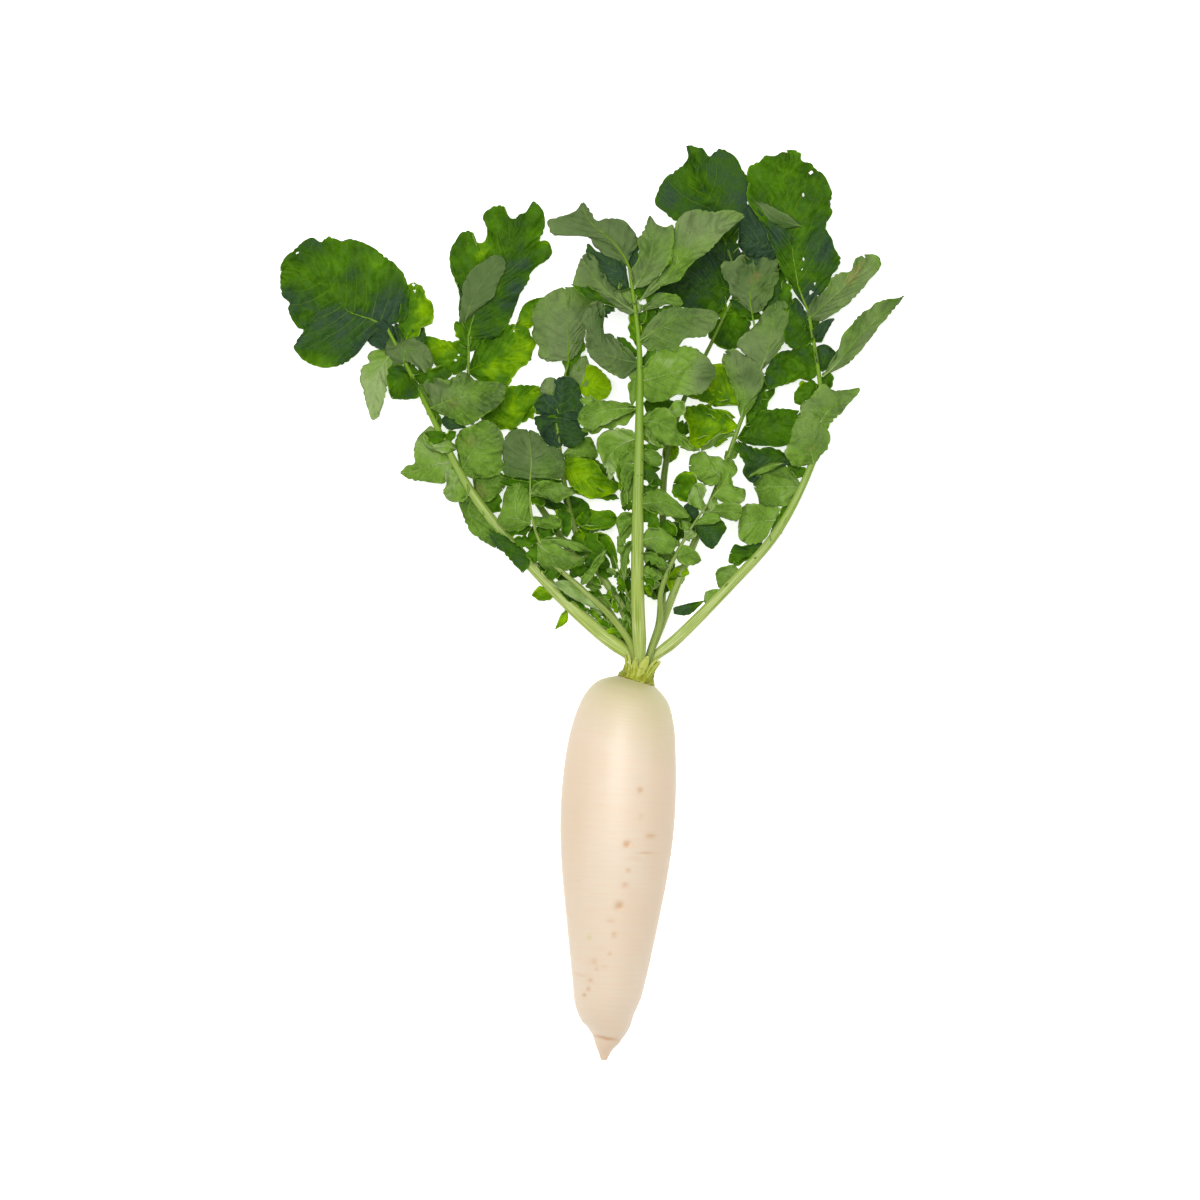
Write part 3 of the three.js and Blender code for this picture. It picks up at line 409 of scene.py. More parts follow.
          -74, 337, -69, 343, -62, 348, -55, 351, -48, 351, -41, 349, -33, 345, -33, 336, -38, 325,
          -39, 318, -41, 311, -44, 305]),
        (UPPER, -0.75, 4, "crumpled", [-54, 262, -55, 272, -52, 289],
         [-62, 262, -71, 268, -68, 276, -63, 278, -60, 285, -54, 290, -47, 290, -42, 286, -39, 279,
          -37, 271, -38, 264, -46, 260]),
        (UPPER, -0.75, 2, "crumpled", [-54, 264, -57, 255, -50, 245],
         [-64, 264, -70, 261, -67, 252, -63, 246, -57, 241, -50, 243, -43, 242, -37, 246, -35, 252,
          -39, 258, -38, 265, -46, 268]),
        (UNDER, -0.2, 3, "dome", [-57, 276, -62, 280, -65, 286],
         [-62, 275, -67, 278, -67, 284, -63, 289, -57, 288, -56, 281]),
        (UNDER, 0.15, 0, "ridge", [-52, 284, -46, 291, -38, 305],
         [-48, 290, -46, 298, -41, 304, -37, 305, -35, 298, -35, 286, -38, 279, -45, 283]),
        (UPPER, 1, -2, "flat", [-42, 282, -34, 286, -20, 287],
         [-38, 290, -36, 299, -30, 298, -25, 294, -20, 289, -19, 283, -22, 277, -28, 275, -36, 276]),
        (UPPER, 0.6, 0, "flat", [-50, 230, -36, 224, -22, 218, -10, 217],
         [-48, 236, -40, 236, -33, 235, -27, 233, -22, 226, -17, 222, -11, 220, -10, 216, -13, 213,
          -20, 210, -30, 208, -36, 211, -42, 215, -48, 222]),
        (UNDER, 0.1, -2, "ruffled", [-50, 237, -40, 241, -30, 246],
         [-46, 242, -40, 247, -32, 250, -28, 244, -26, 237, -30, 234, -38, 236, -46, 236]),
        (UPPER, -0.5, -1, "crumpled", [-44, 199, -38, 201, -31, 205],
         [-48, 205, -46, 210, -40, 209, -34, 207, -30, 203, -29, 197, -31, 190, -38, 189, -45, 193]),
        (UPPER, 0.2, -2, "flat", [-40, 192, -26, 194, -12, 196],
         [-35, 198, -31, 201, -24, 200, -17, 201, -12, 199, -10, 195, -13, 190, -20, 188, -28, 187,
          -35, 188]),
        (UPPER, 0.6, -3, "valley", [-30, 184, -19, 178, -12, 163],
         [-26, 180, -20, 174, -14, 168, -12, 161, -9, 162, -9, 168, -11, 176, -15, 183, -22, 186]),
    ],
    "frond_back_right": [
        (UPPER, -0.25, 3, "valley", [54, 386, 46, 400, 38, 418, 31, 434, 25, 452],
         [46, 390, 38, 394, 28, 398, 18, 400, 10, 406, 4, 411, 6, 420, 9, 427, 16, 433, 22, 438, 25, 443,
          24, 449, 23, 453, 27, 453, 28, 451, 34, 450, 40, 445, 46, 450, 53, 448, 59, 443, 62, 437,
          66, 432, 68, 424, 67, 415, 66, 404, 60, 394]),
        (UPPER, -0.6, 0, "ruffled", [60, 354, 44, 358, 28, 357, 8, 352],
         [56, 345, 50, 338, 40, 340, 28, 341, 16, 343, 7, 347, 4, 352, 12, 358, 24, 364, 27, 371,
          36, 380, 46, 377, 54, 370, 60, 362]),
        (UPPER, -0.9, -2, "flat", [60, 366, 50, 376, 44, 390],
         [54, 364, 44, 370, 38, 378, 40, 388, 48, 392, 58, 388, 64, 380, 64, 370]),
        (UPPER, -0.3, -2, "ruffled", [54, 336, 60, 330, 68, 322],
         [47, 332, 44, 325, 48, 319, 54, 315, 61, 314, 68, 317, 72, 326, 73, 335, 68, 342, 60, 345]),
        (UPPER, 0.1, -2, "flat", [28, 268, 18, 272, 6, 276],
         [24, 262, 14, 263, 6, 268, 3, 275, 8, 279, 18, 279, 26, 276]),
        (UPPER, 0.5, -2, "flat", [20, 234, 24, 242, 26, 250],
         [18, 240, 19, 247, 24, 251, 29, 245, 27, 238, 22, 235]),
    ],
    "frond_back_far_left": [
        (UPPER, 0.12, 2, "flat", [-118, 314, -114, 332, -105, 353, -95, 375, -88, 396],
         [-121, 320, -125, 328, -126, 345, -131, 356, -133.5, 366, -132, 375, -125, 385, -119, 385,
          -118, 380, -114, 378, -110, 380, -109, 388, -112, 395, -109, 401, -99, 404, -97, 400, -95, 396,
          -91, 395, -87, 399, -80, 402, -79, 408, -74, 405, -70, 397, -71, 387, -73, 382, -67, 381,
          -64, 375, -66, 370, -77, 361, -79, 354, -84, 345, -90, 327, -97, 316, -106, 311]),
        (UNDER, -0.8, 9, "flat", [-121, 323, -116, 340, -108, 355, -98, 369],
         [-125, 322, -124, 335, -123.5, 347, -121, 355, -117, 361, -110, 366, -104, 370, -97, 370,
          -95, 362, -98, 355, -100, 350, -102, 342, -108, 337, -114, 329]),
        (UPPER, 0.3, -1, "flat", [-117, 298, -130, 302, -150, 309],
         [-118, 292, -124, 288, -130, 288, -138, 292, -143, 298, -150, 305, -152, 311, -148, 313,
          -141, 312, -136, 311, -129, 310, -122, 311, -116, 307]),
        (UPPER, 0.35, -2, "flat", [-118, 290, -102, 299, -88, 308, -75, 314],
         [-114, 300, -112, 308, -106, 314, -100, 319, -93, 323, -85, 324, -78, 322, -76, 317, -72, 312,
          -74, 305, -75, 300, -80, 295, -85, 290, -90, 281, -98, 281, -108, 283]),
        (UPPER, 0.75, -3, "flat", [-88, 320, -82, 330, -72, 342],
         [-84, 327, -83, 334, -80, 339, -74, 342, -68, 343, -66, 334, -72, 325, -80, 320]),
        (UPPER, 0.5, -1, "flat", [-106, 262, -92, 268, -80, 275, -68, 281],
         [-103, 268, -98, 273, -92, 279, -87, 282, -78, 283, -68, 283, -66, 276, -71, 270, -77, 262,
          -81, 255, -88, 253, -96, 255, -104, 257]),
    ],
    "frond_young_centre": [],
}

# Small ragged leaves: side up, tone (holding painted shade and light too), lift, base x, y, tip x, y, width.
SMALL_LEAVES = {
    "frond_top_centre": [
        (UPPER, -0.3, -7, -3, 313, -9, 338, 9), (UPPER, -0.6, -7, -8, 340, -50, 353, 9),
        (UPPER, -0.4, -7, -1, 316, 9, 343, 11), (UPPER, -0.6, -7, 1, 300, 9, 314, 8),
        (UNDER, -0.6, -7, -7, 341, -17, 357, 9), (UPPER, -0.7, -7, -6, 344, 3, 361, 10),
        (UPPER, -0.7, -7, -8, 362, -6, 386, 8), (UNDER, -0.4, -7, -1, 301, -4, 273, 9),
        (UNDER, -0.5, -7, 0, 271, -38, 254, 14), (UNDER, -0.2, -7, 3, 262, 19, 245, 11),
        (UPPER, -0.5, -7, 3, 237, 18, 219, 12), (UNDER, -0.3, -7, 1, 247, -10, 228, 9),
        (UNDER, -0.5, -7, 1, 227, -4, 205, 7), (UNDER, -0.5, -5, 2, 193, -9, 177, 8),
        (UPPER, -0.5, -5, 4, 207, 18, 190, 11), (UPPER, -0.4, -7, -3, 328, 6, 350, 9),
        (UPPER, -0.5, -7, -2, 306, -17, 319, 7), (UPPER, -0.4, -7, 8, 337, 20, 342, 6),
        (UPPER, -0.3, -7, -8, 213, -13, 234, 6), (UPPER, -0.4, -7, 3, 226, 17, 231, 7),
        (UPPER, -0.5, -7, 5, 213, 17, 224, 8), (UNDER, -0.3, -6, -1, 165, -9, 184, 6),
        (UNDER, -0.4, -5, 6, 172, 24, 165, 8), (UNDER, -0.2, -4, 8, 163, 18, 158, 7),
        (UPPER, -0.4, -4, 9, 157, 17, 151, 7), (UPPER, -0.3, -4, 9, 151, 15, 144, 6),
        (UPPER, -0.6, -6, -30, 332, -20, 341, 9), (UPPER, -0.4, -7, 3, 244, 16, 248, 7),
        (UPPER, -0.4, -6, 2, 204, -8, 203, 7), (UNDER, -0.2, -6, -30, 276, -40, 275, 6),
        (UNDER, -0.1, -6, -2, 336, -9, 349, 8),
    ],
    "frond_left": [
        (UPPER, -0.5, -5, -98, 194, -94, 210, 13), (UPPER, -0.6, -5, -163, 304, -168, 321, 8),
        (UPPER, -0.5, -5, -154, 284, -127, 289, 13), (UNDER, -0.2, -5, -137, 254, -150, 281, 8),
        (UPPER, -0.2, -5, -130, 240, -123, 249, 8), (UPPER, -0.3, -4, -134, 250, -141, 264, 8),
        (UPPER, -0.2, 1, -4, 114, -30, 134, 5), (UPPER, -0.3, 1, -26, 131, -52, 150, 5),
        (UPPER, -0.6, -2, -40, 148, -52, 157, 8), (UPPER, -0.7, -2, -52, 153, -64, 163, 8),
        (UPPER, -0.5, -3, -86, 180, -79, 172, 8), (UPPER, -0.5, -5, -161, 296, -150, 287, 7),
    ],
    "frond_right": [
        (UPPER, -0.5, -5, 122, 287, 128, 304, 9), (UPPER, -0.6, -5, 123, 292, 106, 280, 17),
        (UPPER, -0.5, -5, 116, 230, 103, 238, 8), (UPPER, -0.3, -3, 95, 184, 106, 214, 8),
        (UPPER, -0.5, -5, 97, 342, 94, 363, 9), (UPPER, -0.4, -5, 110, 331, 120, 338, 7),
        (UPPER, -0.4, -3, 82, 176, 70, 167, 7), (UPPER, -0.5, -4, 112, 260, 104, 252, 8),
        (UPPER, -1.2, -6, 93, 372, 64, 380, 15),
    ],
    "frond_right_inner": [
        (UPPER, 0.5, 0, 30, 146, 38, 167, 13), (UPPER, -0.7, -5, 82, 340, 91, 375, 17),
        (UPPER, -0.5, -5, 81, 337, 58, 348, 10), (UPPER, -0.5, -5, 74, 272, 87, 298, 14),
        (UPPER, -0.4, -5, 74, 262, 92, 290, 10), (UPPER, 0.2, -4, 30, 246, 62, 253, 9),
        (UPPER, 0.3, -4, 30, 283, 62, 280, 9), (UPPER, -0.4, 0, 27, 152, 36, 158, 8),
        (UNDER, -0.2, -2, 60, 240, 70, 247, 8), (UPPER, 0.2, -4, 66, 268, 42, 275, 7),
    ],
    "frond_young_right": [
        (UNDER, -0.1, 0, 40, 191, 33, 196, 7), (UNDER, 0, 0, 36, 184, 44, 188, 7),
        (UNDER, -0.1, 0, 33, 180, 24, 186, 7), (UNDER, -0.1, 0, 22, 156, 13, 162, 7),
        (UNDER, 0.1, 0, 26, 163, 16, 168, 7), (UPPER, -0.5, -2, 22, 158, 28, 168, 7),
        (UNDER, 0, 0, 52, 212, 60, 206, 8),
        (UPPER, -0.5, -3, 30, 186, 18, 194, 9), (UPPER, -0.5, -3, 38, 191, 27, 204, 10),
        (UNDER, -0.2, -1, 21, 153, 11, 152, 6),
    ],
    "frond_young_left": [
        (UPPER, -0.5, -5, -67, 188, -66, 162, 12), (UPPER, -0.5, -5, -68, 186, -86, 183, 12),
        (UPPER, -0.6, -5, -46, 158, -59, 156, 8), (UPPER, -0.5, -5, -60, 214, -92, 216, 8),
        (UPPER, -0.5, -2, -50, 200, -44, 181, 10), (UPPER, -0.4, -3, -66, 186, -52, 183, 8),
        (UPPER, -0.6, -3, -66, 176, -80, 178, 8), (UNDER, 0, 1, -33, 149, -17, 174, 6),
        (UPPER, -0.5, -2, -41, 155, -29, 161, 9), (UNDER, -0.2, 0, -33, 150, -24, 160, 6),
        (UPPER, -0.3, -2, -22, 170, -31, 163, 7), (UPPER, -0.5, -2, -70, 207, -60, 203, 8),
        (UPPER, -0.5, -6, -48, 219, -92, 221, 6),
    ],
    "frond_back_left": [
        (UPPER, -0.5, -4, -50, 290, -40, 317, 11), (UPPER, -0.4, -4, -38, 187, -14, 189, 5),
        (UPPER, -0.4, -4, -49, 236, -13, 221, 11), (UPPER, -0.3, -4, -46, 214, -10, 209, 9),
        (UPPER, -0.6, -4, -43, 200, -67, 207, 9), (UPPER, -0.4, 3, -36, 187, -15, 160, 13),
        (UPPER, -0.5, 3, -22, 160, -43, 160, 9), (UPPER, 0.1, 3, -42, 199, -54, 182, 11),
        (UPPER, -0.4, 3, -38, 186, -30, 168, 10), (UPPER, -0.5, 3, -22, 164, -12, 156, 9),
        (UPPER, -0.4, -2, -52, 262, -72, 270, 9), (UPPER, -0.5, -3, -50, 250, -33, 252, 8),
        (UPPER, -0.5, -3, 2, 143, -3, 159, 7), (UPPER, -0.6, -3, -1, 130, -6, 147, 6),
        (UPPER, -0.6, -3, 4, 119, 0, 134, 6),
    ],
    "frond_back_right": [
        (UPPER, -0.4, -3, 26, 262, 36, 257, 13), (UPPER, 0.1, -3, 25, 252, 45, 247, 7),
        (UPPER, -0.6, 3, 21, 186, 43, 198, 19), (UPPER, -0.5, 3, 19, 148, 11, 178, 13),
        (UPPER, -0.4, 3, 21, 142, 28, 171, 10), (UPPER, -0.3, -3, 54, 333, 53, 352, 7),
        (UPPER, -0.2, -3, 58, 379, 59, 399, 9), (UPPER, -0.1, -3, 20, 246, 3, 252, 8),
        (UNDER, -0.3, -3, 9, 148, 21, 142, 8), (UPPER, -0.5, -3, 10, 150, 20, 149, 7),
    ],
    "frond_back_far_left": [
        (UPPER, -0.3, -3, -118, 306, -127, 324, 10), (UPPER, -0.2, -3, -117, 304, -107, 316, 9),
        (UPPER, 0.3, -3, -82, 258, -69, 271, 10), (UPPER, 0.1, -3, -100, 255, -80, 252, 6),
    ],
}

# The crowd of small leaves on the young frond: y, and how far left and right it spreads there.
CROWD = [(110, 2, 5), (120, -8, 4), (129, -18, 4), (139, -21, 3), (147, -27, 3), (158, -14, 1)]
CROWD_COUNT = 46
CROWD_SEED = 23

# Painted shade where a frond's leaves lie in shadow or show a bluish sheen, bluer and duller (below 0),
# and painted light where they look brighter (above 0): x, y, radius, amount.
SHADES = {
    "frond_left": [(-222, 314, 27, -0.55), (-196, 303, 20, -0.5), (-240, 334, 15, -0.45),
                   (-168, 333, 13, -0.9), (-180, 312, 14, -0.4), (-205, 360, 26, 0.15),
                   (-216, 290, 12, 0.6)],
    "frond_right": [(84, 430, 22, 0.1), (119, 378, 14, -0.4), (124, 364, 10, -0.3), (104, 444, 12, 0.2),
                    (90, 395, 9, -1.1), (113, 350, 10, -1)],
    "frond_back_right": [(62, 425, 13, -0.6), (28, 442, 12, -0.4), (40, 424, 15, 0.25), (12, 412, 12, -0.2)],
    "frond_back_far_left": [(-79, 386, 12, 0.4), (-104, 394, 11, 0.2), (-88, 343, 11, -0.8),
                            (-84, 364, 9, -0.3), (-96, 300, 12, 0.2)],
    "frond_top_centre": [(25, 298, 16, 0.3), (45, 388, 14, 0.2), (-36, 365, 10, -0.3),
                         (-28, 312, 12, -0.3), (47, 297, 11, -1.2), (-24, 330, 9, -1), (-8, 300, 7, -0.8)],
    "frond_right_inner": [(60, 270, 14, 0.3), (72, 366, 12, -0.35), (75, 298, 9, -0.8)],
    "frond_young_left": [(-62, 231, 10, 0.7)],
}

# Holes that insects left: x, y and radius. Brown marks: x, y, radius and strength.
HOLES = {
    "frond_left": [(-237, 365, 0.8), (-157, 347, 0.9), (-156, 343, 0.8)],
    "frond_right": [(109, 437, 1), (105, 422, 0.8), (107, 378, 1), (106, 371, 0.8), (113, 356, 1.4),
                    (118, 354, 0.9), (115, 362, 0.8)],
    "frond_back_far_left": [(-124, 301, 0.9), (-126, 297, 0.8), (-87, 319, 0.8)],
}
STAINS = {
    "frond_right": [(138, 364, 3, 0.7), (141, 368, 4, 0.8), (144, 373, 3.6, 0.8), (147, 377, 2.4, 0.5),
                    (118, 250, 4, 0.3)],
    "frond_right_inner": [(76, 365, 4, 0.6), (72, 361, 3, 0.4)],
    "frond_left": [(-113, 243, 6, 0.25), (-105, 209, 7, 0.35), (-126, 268, 6, 0.25)],
    "frond_young_left": [(-37, 168, 3, 0.4)],
}

# ---- The view that the plan points are seen in, in metres ----

VIEW_CENTRE = (-0.01945, 0.1396)
VIEW_WIDTH = 0.816
VIEW_HEIGHT = 0.039  # the level at which plan points are true
CAMERA_HEIGHT = 3.0  # above that level
CAMERA_ROLL = math.radians(2.92)
SENSOR = 36.0  # mm

# ---- Fineness ----

LINE_STEPS = 14  # steps of a measured line from one of its points to the next
ROW_STEP = 1.15  # mm between rows along a blade
COLUMN_STEP = 1.4
ROWS = (14, 120)
COLUMNS = (4, 22)
COLUMN_CROWDING = 1.15  # above 1, columns lie closer together at the midvein
RIB_STEP = 2.4
RIB_SIDES = 16
VEIN_SIDES = 8
STUB_STEPS = 6
ROOT_RINGS = 340
ROOT_SIDES = 240
CROWN_STEPS = 40
CROWN_SIDES = 72
SCALE_ROWS = 22
SCALE_COLUMNS = 15

CEILING = 81.2  # nothing stands higher
BOX_CLEARANCE = 0.1  # nothing comes nearer to the sides of the CAD's box
LAYER_CLEARANCE = 0.9  # half the gap that is kept between two layers
LEAST_ROOM = 0.8  # how far a leaf may leave its layer's middle even where layers are close
UP = np.array([0.0, 0.0, 1.0])
BLADE_UPPER, BLADE_UNDER, STALK = 0, 1, 2
BETWEEN_VEINS = 0.35  # a place on a vein map that no side vein crosses


# ---- Curves ----

def smoothstep(x, low, high):
    share = np.clip((x - low) / (high - low), 0, 1)
    return share * share * (3 - 2 * share)


def unit(vectors):
    return vectors / np.maximum(np.linalg.norm(vectors, axis=-1, keepdims=True), 1e-9)


def spline(points, t):
    """Places at t, from 0 to 1, on the centripetal Catmull-Rom curve through the given points."""
    points = np.asarray(points, float)
    last = len(points) - 1
    place = np.clip(np.asarray(t, float), 0, 1) * last
    index = np.minimum(place.astype(int), last - 1)
    w = (place - index)[:, None]
    before = np.vstack([2 * points[0] - points[1], points[:-1]])[index]
    start, stop = points[index], points[index + 1]
    after = np.vstack([points[1:], 2 * points[-1] - points[-2]])[index + 1]
    gaps = [np.maximum(np.linalg.norm(b - a, axis=1, keepdims=True), 1e-6) ** 0.5
            for a, b in ((before, start), (start, stop), (stop, after))]
    leave = ((start - before) / gaps[0] - (stop - before) / (gaps[0] + gaps[1])) * gaps[1] + stop - start
    arrive = ((after - stop) / gaps[2] - (after - start) / (gaps[1] + gaps[2])) * gaps[1] + stop - start
    return (start + leave * w + (3 * (stop - start) - 2 * leave - arrive) * w ** 2
            + (2 * (start - stop) + leave + arrive) * w ** 3)


def measured(points):
    """A fine polyline along the curve through the points, and the distance travelled at its corners."""
    line = spline(points, np.linspace(0, 1, LINE_STEPS * (len(points) - 1) + 1))
    steps = np.linalg.norm(np.diff(line, axis=0), axis=1)
    return line, np.concatenate([[0], np.cumsum(steps)])


def places(line, travelled, at):
    """Places on a measured line at the given distances."""
    return np.column_stack([np.interp(at, travelled, column) for column in line.T])


def along(points, shares):
    """Places at shares of the length of the curve through the points."""
    line, travelled = measured(points)
    return places(line, travelled, np.asarray(shares) * travelled[-1])


def wrinkles(x, y, rng, length):
    """Ridged unevenness from -1 to 1, about `length` mm from crest to crest."""
    total, strength = np.zeros_like(x), np.zeros_like(x)
    for turn in rng.uniform(0, TAU, WRINKLE_WAVES):
        k = TAU / (length * rng.uniform(*WRINKLE_SPREAD))
        ahead, aside = x * math.cos(turn) + y * math.sin(turn), x * math.sin(turn) - y * math.cos(turn)
        bend = WRINKLE_BEND * np.sin(aside * k * 0.45 + rng.uniform(0, TAU))
        size = 0.5 + 0.5 * np.sin((aside + ahead) * k * 0.3 + rng.uniform(0, TAU))
        total += size * (1 - 2 * np.abs(np.sin(ahead * k * 0.5 + bend + rng.uniform(0, TAU))))
        strength += size
    return total / np.maximum(strength, 1)


# ---- Layers ----

def layer_height(layer, distance):
    spread = 1 - (1 - np.minimum(distance / LAYER_SPREAD_RADIUS, 1)) ** 2
    foot = LAYER_FOOT_HEIGHTS[layer]
    return foot + (LOWEST_LAYER_HEIGHT + layer * LAYER_PITCH - foot) * spread


def from_crown(x, y):
    return np.hypot(x - CROWN_CENTRE[0], y - CROWN_CENTRE[1])


def frond_height(frond, distance):
    start, stop, drop = frond["droop"]
    return layer_height(frond["layer"], distance) - drop * smoothstep(distance, start, stop)


def in_layer(frond, x, y, rise):
    """Height of points that rise above the middle of their frond's layer, pressed softly into it."""
    distance = from_crown(x, y)
    middle = frond_height(frond, distance)
    layer = frond["layer"]
    here = layer_height(layer, distance)
    if layer + 1 < len(LAYER_FOOT_HEIGHTS):
        above = (layer_height(layer + 1, distance) - here) / 2 - LAYER_CLEARANCE
    else:
        above = CEILING - middle
    below = ((here - layer_height(layer - 1, distance)) / 2 if layer else middle) - LAYER_CLEARANCE
    room = np.maximum(np.where(rise > 0, above, below), LEAST_ROOM)
    return middle + room * np.tanh(rise / room)


def as_seen(points):
    """Moves points so that the camera sees them where their plan has them at the view's own height."""
    nearer = 1 - (points[..., 2:] * MM - VIEW_HEIGHT) / CAMERA_HEIGHT
    centre = np.array(VIEW_CENTRE) / MM
    return np.concatenate([centre + (points[..., :2] - centre) * nearer, points[..., 2:]], axis=-1)


# ---- Meshes ----

class Surface:
    """Quads being gathered for one piece, with a vein map, a tone and a brown stain at each corner."""

    def __init__(self):
        self.points, self.quads, self.materials, self.maps = [], [], [], []
        self.tones, self.stains = [], []
        self.count = 0

    def add(self, points, quads, materials, vein_map, tone, stain=0.0):
        used, quads = np.unique(quads, return_inverse=True)
        quads = quads.reshape(-1, 4)
        self.points.append(points[used])
        self.maps.append(vein_map[used])
        self.tones.append(np.broadcast_to(tone, len(points))[used])
        self.stains.append(np.broadcast_to(stain, len(points))[used])
        self.quads.append(quads + self.count)
        self.materials.append(np.broadcast_to(materials, len(quads)))
        self.count += len(used)

    def piece(self, name, materials):
        low, high = np.array(cad_box[0]), np.array(cad_box[1])
        clearance = BOX_CLEARANCE * MM
        points = np.clip(np.concatenate(self.points) * MM, low + clearance, high - clearance)
        quads = np.concatenate(self.quads)
        mesh = bpy.data.meshes.new(name)
        mesh.vertices.add(len(points))
        mesh.vertices.foreach_set("co", points.ravel())
        mesh.loops.add(quads.size)
        mesh.loops.foreach_set("vertex_index", quads.ravel().astype(np.int32))
        mesh.polygons.add(len(quads))
        mesh.polygons.foreach_set("loop_start", np.arange(0, quads.size, 4, dtype=np.int32))
        mesh.polygons.foreach_set("material_index", np.concatenate(self.materials).astype(np.int32))
        mesh.polygons.foreach_set("use_smooth", np.ones(len(quads), bool))
        veins = mesh.uv_layers.new(name="veins")
        veins.data.foreach_set("uv", np.concatenate(self.maps)[quads.ravel()].ravel())
        for kind, values in (("tone", self.tones), ("stain", self.stains)):
            layer = mesh.attributes.new(kind, "FLOAT", "POINT")
            layer.data.foreach_set("value", np.concatenate(values).astype(np.float32))
        for material in materials:
            mesh.materials.append(material)
        mesh.update(calc_edges=True)
        piece = bpy.data.objects.new(name, mesh)
        bpy.context.scene.collection.objects.link(piece)
        return piece


def grid_quads(rows, columns, wrap=False):
    index = np.arange(rows * columns).reshape(rows, columns)
    if wrap:
        index = np.column_stack([index, index[:, 0]])
    corners = [index[:-1, :-1], index[:-1, 1:], index[1:, 1:], index[1:, :-1]]
    return np.stack(corners, axis=-1).reshape(-1, 4)


def rod_quads(rows, sides):
    """Quads of a closed rod: rings of points in turn, with a flat cap at either end."""
    k = np.arange(sides // 2 - 1)
    cap = np.column_stack([k, k + 1, sides - 2 - k, sides - 1 - k])
    return np.vstack([grid_quads(rows, sides, wrap=True)[:, ::-1], cap, cap[:, ::-1] + (rows - 1) * sides])


def line_frame(centres):
    """Unit vectors along a line of centres, across it and above it."""
    heading = unit(np.gradient(centres, axis=0))
    across = unit(np.cross(heading, UP))
    return heading, across, np.cross(across, heading)


def map_pairs(first, second):
    """A grid's vein map, from the place along the side veins and the place across the blade."""
    return np.stack(np.broadcast_arrays(first, second), axis=-1).reshape(-1, 2)


def add_shell(surface, points, kept, face, vein_map, tone, stain):
    """A thin closed blade round a grid of points, of the cells that are kept."""
    lift = unit(np.cross(np.gradient(points, axis=1), np.gradient(points, axis=0))) * BLADE_THICKNESS / 2
    over, below = (points + lift).reshape(-1, 3), (points - lift).reshape(-1, 3)
    size = len(over)
    top = grid_quads(*points.shape[:2])[kept.ravel()]
    starts, stops = top.ravel(), np.roll(top, -1, axis=1).ravel()
    rim = ~np.isin(starts * size + stops, stops * size + starts)
    a, b = starts[rim], stops[rim]
    rims = np.column_stack([b, a, a + size, b + size])
    quads = np.vstack([top, top[:, ::-1] + size, rims])
    sides = (BLADE_UPPER, BLADE_UNDER) if face == UPPER else (BLADE_UNDER, BLADE_UPPER)
    materials = np.repeat([*sides, BLADE_UNDER], [len(top), len(top), len(rims)])
    surface.add(np.vstack([over, below]), quads, materials, np.vstack([vein_map, vein_map]),
                np.concatenate([tone, tone]), np.concatenate([stain, stain]))


# A rod's ridges, round it: how many, from which angle, how much deeper the channel on its upper side is
# than a ridge is high, and the channel's half width, in radians.
RIDGE_COUNT = 5
RIDGE_START = 0.6
CHANNEL_DEPTH = 1.6
CHANNEL_WIDTH = 0.45
STREAK_LENGTH = 10  # mm of a stalk to one unit of its map


def add_tube(surface, centres, radii, sides, tone, flatness=1.0, ridges=0.0, material=STALK):
    """A closed rod along a line of centres, with lengthwise ridges."""
    _, across, above = line_frame(centres)
    turns = np.arange(sides) * TAU / sides
    channel = CHANNEL_DEPTH * ridges * np.exp(-((turns - TAU / 4) / CHANNEL_WIDTH) ** 2)
    girth = 1 + ridges * np.cos(turns * RIDGE_COUNT + RIDGE_START) - channel
    reach = np.asarray(radii)[:, None] * girth
    points = (centres[:, None] + (reach * np.cos(turns))[..., None] * across[:, None]
              + (reach * np.sin(turns) * flatness)[..., None] * above[:, None])
    travelled = np.concatenate([[0], np.cumsum(np.linalg.norm(np.diff(centres, axis=0), axis=1))])
    place = travelled / STREAK_LENGTH if material == STALK else np.full(len(centres), BETWEEN_VEINS)
    surface.add(points.reshape(-1, 3), rod_quads(len(centres), sides), material,
                map_pairs(place[:, None], turns[None, :] / TAU), np.repeat(tone, sides))


# ---- Leaves ----

# Side veins: mm between them, and how much more for each mm of the leaf's length; how far they slope to
# the tip; how far they lean on to it, for a leaf as wide as long; and the widest leaf that this holds for.
VEIN_PITCH = (5.0, 0.05)
VEIN_SLOPE = 1.3
VEIN_LEAN = 0.36
WIDEST_LEAN = 0.9
FEWEST_VEINS = 3
VEIN_WAVER = (0.25, 7)  # how far they stray, and how soon

# Teeth of the margin, in mm: length, depth, where they start and end, and the length of a leaf whose
# teeth are full.
SCALLOP_LENGTH = 6.2
SCALLOP_DEPTH = 0.95
SCALLOP_BASE = 0.64  # the height of a tooth that is at the margin itself
SCALLOP_SHIFT = (0.4, 1.7)  # how far teeth stray from even steps, and how soon
SCALLOP_SIZES = (0.75, 0.5, 0.9)  # their middle size, how far it varies, and how soon
SCALLOP_FADE = 12  # how soon they reach full size, from either end
MARGIN_ENDS = (0.012, 0.988)
FULL_SCALLOP_LEAF = 45

